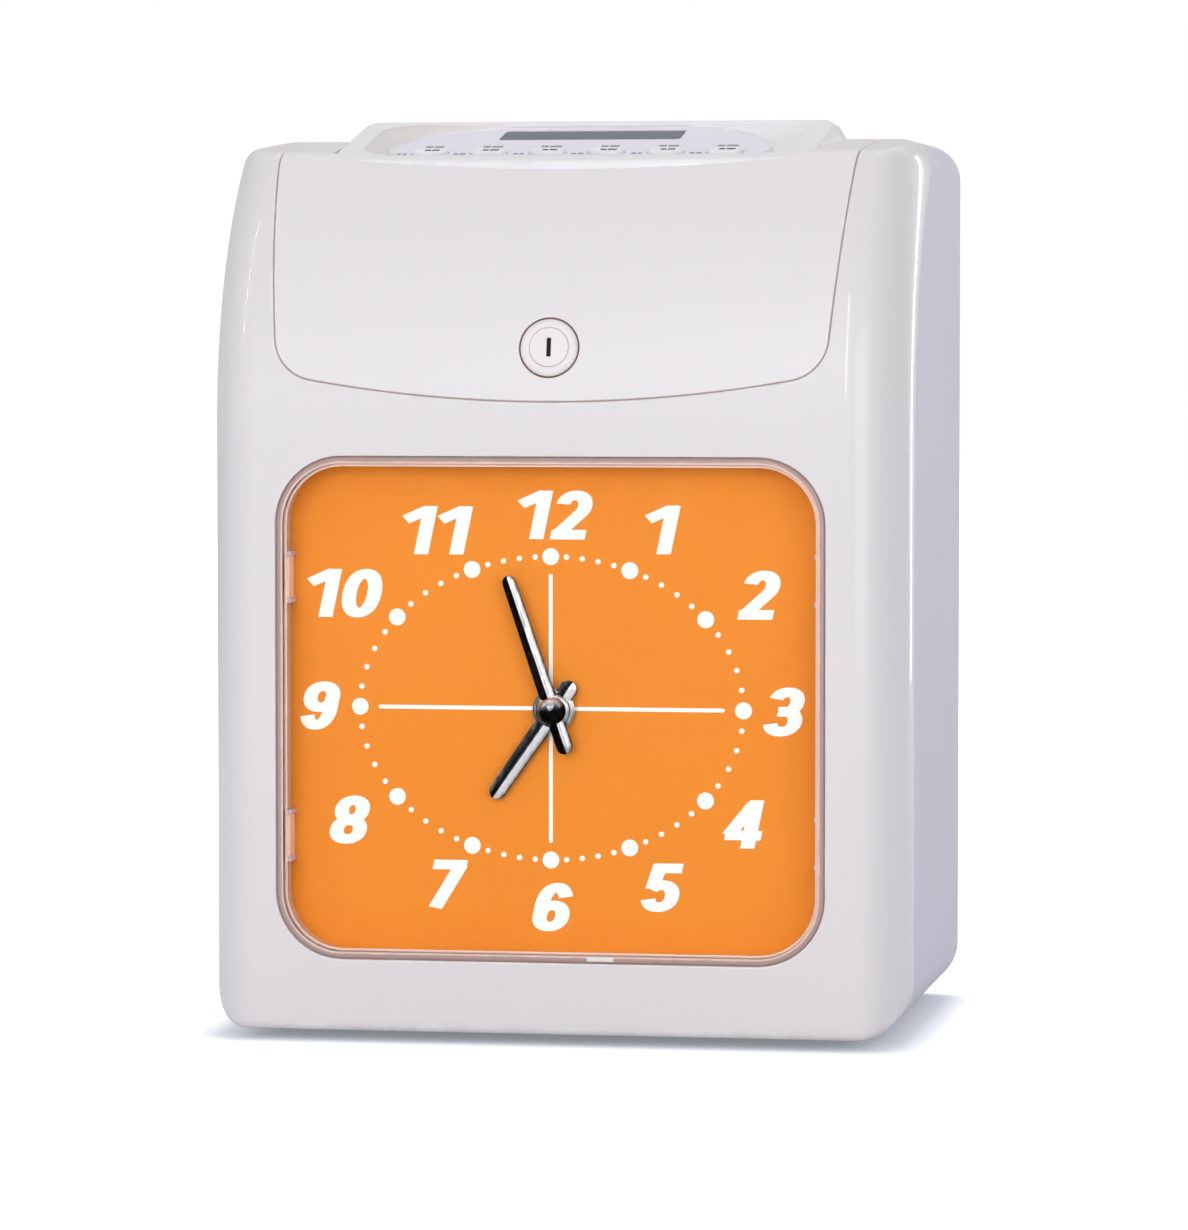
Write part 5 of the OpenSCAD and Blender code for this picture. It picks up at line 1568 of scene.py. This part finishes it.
def repeated(name, form, places, material, body, slot, node, smooth=35.0):
    """One form, drawn about the origin, set on several places of one body."""
    points = [(x * MM, d * MM, z * MM) for x, d, z in form.points]
    mesh = clean_mesh(name + "_shape", points, form.faces)
    shape = bpy.data.objects.new(name + "_shape", mesh)
    scene.collection.objects.link(shape)
    grown = grow_tree(name, repeat_tree, to_metres(places), {"Shape": shape, "Size": 1.0, "Finish": material})
    bpy.data.objects.remove(shape)
    bpy.data.meshes.remove(mesh)
    return finish_piece(name, grown, material, body, slot, node, smooth=smooth)


def cross_slot(arm, half):
    """A cross-shaped recess, clockwise."""
    quarter = np.array([(half, half), (half, arm), (-half, arm)])
    turns = [quarter @ np.array(((c, s), (-s, c))) for c, s in ((1, 0), (0, 1), (-1, 0), (0, -1))]
    return fine(np.concatenate(turns), 0.3)[::-1]


def screw(head_r, head_d, shank_r, shank):
    """A cross-recess screw about the origin, its head to the back."""
    form = Form()

    def face(uv):
        r = np.hypot(uv[:, 0], uv[:, 1])
        return np.stack([uv[:, 0], head_d - 0.028 * r * r, uv[:, 1]], 1)

    grid = np.arange(-3, 3.1, 0.45)
    spots = np.array([(x, z) for x in grid for z in grid])
    loops = [circle(head_r, 0, 0, 40), cross_slot(head_r * 0.6, head_r * 0.13)]
    form.skin(loops, face, head_d * 0.75, 0.22, spots, outward=(0, -20, 0))
    neck = head_r * 0.9
    end = shank + 0.8
    form.turned(0, 0, [(0, 0.3), (neck, 0.3), (neck, 0), (shank_r, 0), (shank_r, -shank), (0, -end)], 24)
    return form


def fasteners():
    repeated("panel_screws_cross", screw(3.0, 1.3, 1.3, 12.0), [(x, 148.6, z) for x, z in PANEL_SCREWS],
             steel, "housing", "steel", "panel_screws")
    repeated("dial_screws_cross", screw(3.0, 1.9, 1.05, 8.0), [(x, 13.25, z) for x, z in DIAL_SCREWS],
             steel, "housing", "steel", "dial_screws")


def feet():
    """Rubber feet with a rounded tread edge and a plug up into the floor."""
    form = Form()
    profile = [(0.01, 0.5), (3.6, 0.5), (4.2, 0.0), (6.3, 0.0), (6.8, 0.25), (7.0, 0.8), (7.0, 2.6),
               (6.8, 2.95), (2.5, 3.0), (2.5, 6.2), (2.0, 7.0), (0.01, 7.0)]
    form.loft([[(x, d, z) for x, d in circle(r, 0.0, 0.0, 40)] for r, z in profile])
    places = [(x, d, 0.0) for x in (-85.0, 85.0) for d in (40.0, 135.0)]
    repeated("feet_rubber", form, places, rubber, "housing", "rubber", "feet")


def card_mouth():
    """Flared bezel round the card slot on the flat top."""
    form = Form()
    steps = [(96, 11.2, 0.8, 261.8), (96, 11.2, 0.8, 268.52), (103.6, 16.6, 4.8, 268.55),
             (104, 17, 5, 268.75), (104, 17, 5, 269.2), (103.6, 16.6, 4.8, 269.6), (102.6, 15.6, 4.4, 269.85),
             (91.4, 11.2, 1.6, 269.85), (90.2, 9.9, 1.2, 269.6), (89.4, 9.0, 0.9, 268.9),
             (89, 6.0, 0.5, 265.5), (89, 6.0, 0.5, 261.8)]
    form.loft([[(x, d, z) for x, d in rounded(w, h, r, 0, SLOT_S, 6)] for w, h, r, z in steps], closed=True)
    return set_down("card_mouth_bezel", form, mouth_white, "housing", "shell_white", "card_mouth")


# Ribbon cassette and its knob, seen under the cover

CASSETTE_S = 57.0
CASSETTE_Z = (197.6, 220.6)
KNOB_AT = (-42.0, 57.0, 220.9)


def ribbon_cassette():
    """Ribbon cassette: two snapped halves with a framed field on the lid, and arms that hold the ribbon."""
    form = Form()
    low, high = CASSETTE_Z
    split = (low + high) / 2

    def ring(off, z):
        return [(x, d, z) for x, d in rounded(122 - 2 * off, 24 - 2 * off, 6 - off, 0.0, CASSETTE_S, 10)]

    form.loft([ring(1.6, low), ring(0.9, low), ring(0.25, low + 0.3), ring(0, low + 0.9), ring(0, low + 1.6),
               ring(0, split - 1.1), ring(0, split - 0.5), ring(0.5, split - 0.3), ring(0.5, split + 0.3),
               ring(0, split + 0.5), ring(0, split + 1.1), ring(0, high - 1.6), ring(0, high - 0.9),
               ring(0.25, high - 0.3), ring(0.9, high), ring(1.6, high)])

    def frame_ring(off, z):
        return [(x, d, z) for x, d in rounded(70 - 2 * off, 16 - 2 * off, 3 - off, 14.0, CASSETTE_S, 6)]

    form.loft([frame_ring(0, high - 0.2), frame_ring(0.1, high + 0.35), frame_ring(0.5, high + 0.5),
               frame_ring(0.9, high + 0.35), frame_ring(1.0, high - 0.2)], closed=True)
    for x in np.arange(-17.0, 46.0, 3.0):
        form.block(x - 0.4, x + 0.4, CASSETTE_S - 5.5, CASSETTE_S + 5.5, high - 0.3, high + 0.3, 0.2)
    for m in (-1, 1):
        lo, hi = sorted((m * 57, m * 61))
        form.block(lo, hi, 63.0, 102.4, 202.5, 215.0, 0.6)
    return set_down("ribbon_cassette_case", form, dark_plastic, "housing", "dark_plastic", "ribbon_cassette")


def ribbon_knob():
    """Winding knob: a scalloped grip, a domed hub and its stem."""
    form = Form()
    cx, cs, base = KNOB_AT
    t = np.linspace(0, 2 * math.pi, 144, endpoint=False)
    scallop = np.maximum(np.cos(12 * t), 0) ** 2

    def ring(r, notch, lift):
        radii = r - notch * scallop
        return [(cx + q * math.cos(a), cs + q * math.sin(a), base + lift) for q, a in zip(radii, t)]

    form.loft([ring(*step) for step in (
        (6.3, 0.3, 0.0), (6.8, 0.55, 0.2), (7.0, 0.6, 0.7), (7.0, 0.6, 4.2), (6.85, 0.55, 4.7),
        (6.3, 0.4, 5.0), (4.6, 0.0, 5.0), (4.2, 0.0, 5.1), (4.0, 0.0, 5.4), (4.0, 0.0, 6.4),
        (3.8, 0.0, 6.8), (3.3, 0.0, 7.0), (1.4, 0.0, 7.0), (1.1, 0.0, 6.8), (0.9, 0.0, 6.2))])
    form.loft([[(x, d, base + lift) for x, d in circle(r, cx, cs, 24)]
               for r, lift in ((1.6, -17.0), (2.0, -16.6), (2.0, 0.5))])
    return set_down("ribbon_knob_grip", form, key_white, "ribbon_winder", "key_white", "ribbon_knob")


def dress(material, *names):
    for name in names:
        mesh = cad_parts[name].data
        mesh.materials.clear()
        mesh.materials.append(material)


ribbon_cassette()
ribbon_knob()
front_shell()
top_cover()
rear_housing()
lens()
dial()
dial_numbers()
dial_lines()
dial_dots()
hand("hour_hand_baton", "hour", "hour_hand", at=215, length=32, root=5.5, tip=4.8, tail=7.5, hub=6.3,
     bore=2.72, back=10.2, edge=9.7, ridge=9.0, painted_edge_band=0.5, bright=1.1)
hand("minute_hand_baton", "minute", "minute_hand", at=341, length=42, root=4.9, tip=4.0, tail=11.0, hub=5.0,
     bore=1.52, back=8.2, edge=7.7, ridge=7.0, painted_edge_band=0.2, bright=0.88)
hand_cap()
lock_body()
lock_plug()
console()
console_panel()
for i in range(6):
    button(i)
display()
panel_bead()
panel_marks()
panel_notes()
dial_clips()
lens_gate()
lock_gap_shade()
keyway_shade()
seam_strip()
repeat_tree = shape_tree()
rear_panel()
fasteners()
feet()
card_mouth()
dress(steel, "hinge_pins", "lock_nut", "lock_cam", "cam_screw", "chassis", "guide_shafts", "card_guide_front",
      "card_guide_rear", "feed_shaft", "carriage_motor", "feed_motor", "transformer")
dress(brass, "hour_tube", "minute_arbor", "drive_pulley", "idler_pulley")
dress(rubber, "belt", "platen", "feed_tyres", "pinch_rollers")
dress(dark_plastic, "clock_movement", "print_carriage", "print_head", "board_parts", "power_inlet")
dress(ribbon_ink, "ribbon")
dress(gear_nylon, "feed_gear", "feed_pinion")
dress(board_green, "display_board", "key_board", "main_board")
dress(cell_wrap, "battery")


# Studio

def studio_floor():
    """Pale floor that keeps the cast shadow close to the part and runs out to white; its glow to the camera
    is lower and bluer near the part's base, a painted shadow round the base.
    """
    mesh = bpy.data.meshes.new("studio_floor")
    mesh.from_pydata([(-6, -6, 0), (6, -6, 0), (6, 6, 0), (-6, 6, 0)], [], [(0, 1, 2, 3)])
    f = Finish("studio_floor")
    # Bluish floor colour, seen only where the floor is in shade: a painted blue tint for the shadow.
    f.feed("Base Color", f.two_tone(f.noise(3.0, 2.0), (0.76, 0.78, 0.83, 1), (0.78, 0.80, 0.84, 1)))
    f.set(Roughness=0.9, Specular_IOR_Level=0.1)
    path = f.node("ShaderNodeLightPath")
    size = f.node("ShaderNodeVectorMath", operation="ABSOLUTE")
    f.link(f.place, size.inputs[0])
    past = f.node("ShaderNodeVectorMath", operation="SUBTRACT")
    past.inputs[1].default_value = (0.092, 0.062, 0.0)
    f.link(size.outputs[0], past.inputs[0])
    only = f.node("ShaderNodeVectorMath", operation="MAXIMUM")
    f.link(past.outputs[0], only.inputs[0])
    away = f.node("ShaderNodeVectorMath", operation="LENGTH")
    f.link(only.outputs[0], away.inputs[0])
    painted_shadow_fade = f.node("ShaderNodeMapRange", interpolation_type="SMOOTHSTEP")
    painted_shadow_glow, far_glow = 0.24, 0.75
    painted_shadow_fade.inputs["From Min"].default_value = 0.008
    painted_shadow_fade.inputs["From Max"].default_value = 0.027
    painted_shadow_fade.inputs["To Min"].default_value = painted_shadow_glow
    painted_shadow_fade.inputs["To Max"].default_value = far_glow
    f.link(away.outputs["Value"], painted_shadow_fade.inputs["Value"])
    part = f.node("ShaderNodeMath", operation="MULTIPLY")
    f.link(path.outputs["Is Camera Ray"], part.inputs[0])
    f.link(painted_shadow_fade.outputs["Result"], part.inputs[1])
    f.feed("Emission Strength", part.outputs[0])
    # The glow turns bluish near the base: painted shadow tint.
    f.feed("Emission Color", f.ramp(painted_shadow_fade.outputs["Result"], [
        (painted_shadow_glow, (0.86, 0.92, 1.0, 1)), (far_glow, (1, 1, 1, 1))]))
    mesh.materials.append(f.material)
    floor = bpy.data.objects.new("studio_floor", mesh)
    scene.collection.objects.link(floor)


def soft_light(name, place, aim, size, power, tall=None):
    data = bpy.data.lights.new(name, "AREA")
    data.energy = power
    data.size = size
    if tall is not None:
        data.shape = "RECTANGLE"
        data.size_y = tall
    lamp = bpy.data.objects.new(name, data)
    scene.collection.objects.link(lamp)
    lamp.location = place
    lamp.rotation_euler = (Vector(aim) - Vector(place)).to_track_quat("-Z", "Y").to_euler()
    return lamp


def studio_world():
    world = bpy.data.worlds.new("studio")
    scene.world = world
    world.use_nodes = True
    nodes, links = world.node_tree.nodes, world.node_tree.links
    ground = nodes["Background"]
    ground.inputs["Color"].default_value = (1, 1, 1, 1)
    path = nodes.new("ShaderNodeLightPath")
    seen = nodes.new("ShaderNodeMath")
    seen.operation = "MAXIMUM"
    links.new(path.outputs["Is Camera Ray"], seen.inputs[0])
    links.new(path.outputs["Is Transmission Ray"], seen.inputs[1])
    level = nodes.new("ShaderNodeMapRange")
    level.inputs["To Min"].default_value = 0.62
    level.inputs["To Max"].default_value = 1.0
    links.new(seen.outputs[0], level.inputs["Value"])
    links.new(level.outputs["Result"], ground.inputs["Strength"])


def camera():
    data = bpy.data.cameras.new("camera")
    data.lens = 165.66
    data.sensor_width = 36.0
    data.clip_start = 0.05
    data.clip_end = 50
    cam = bpy.data.objects.new("camera", data)
    scene.collection.objects.link(cam)
    cam.location = (0.296467, -1.706333, 0.212538)
    cam.rotation_euler = (math.pi / 2 - 0.0514854, 0.0, 0.171574)
    scene.camera = cam


studio_floor()
studio_world()
key = soft_light("key", (-0.5, -2.15, 0.42), (0, 0, 0.14), 1.4, 16.0)
key.visible_glossy = False
soft_light("fill", (1.2, -1.65, 0.45), (0, 0, 0.14), 1.2, 6.8)
top = soft_light("top", (-0.1, 1.0, 1.7), (0, 0, 0.25), 1.0, 10.0)
top.visible_glossy = False
left_strip = soft_light("left_strip", (-1.31, -0.84, 1.25), (-0.09, -0.05, 0.22), 0.025, 1.8, 1.1)
front_strip = soft_light("front_strip", (-0.04, -1.57, 0.85), (0.09, -0.07, 0.2), 0.03, 1.5, 0.9)
right_strip = soft_light("right_strip", (0.77, 1.48, 0.35), (0.1, -0.03, 0.15), 0.1, 1.6, 0.8)
for strip in (left_strip, front_strip, right_strip):
    strip.visible_camera = False
    strip.visible_diffuse = False
camera()
scene.view_settings.view_transform = "Standard"

bpy.context.view_layer.update()
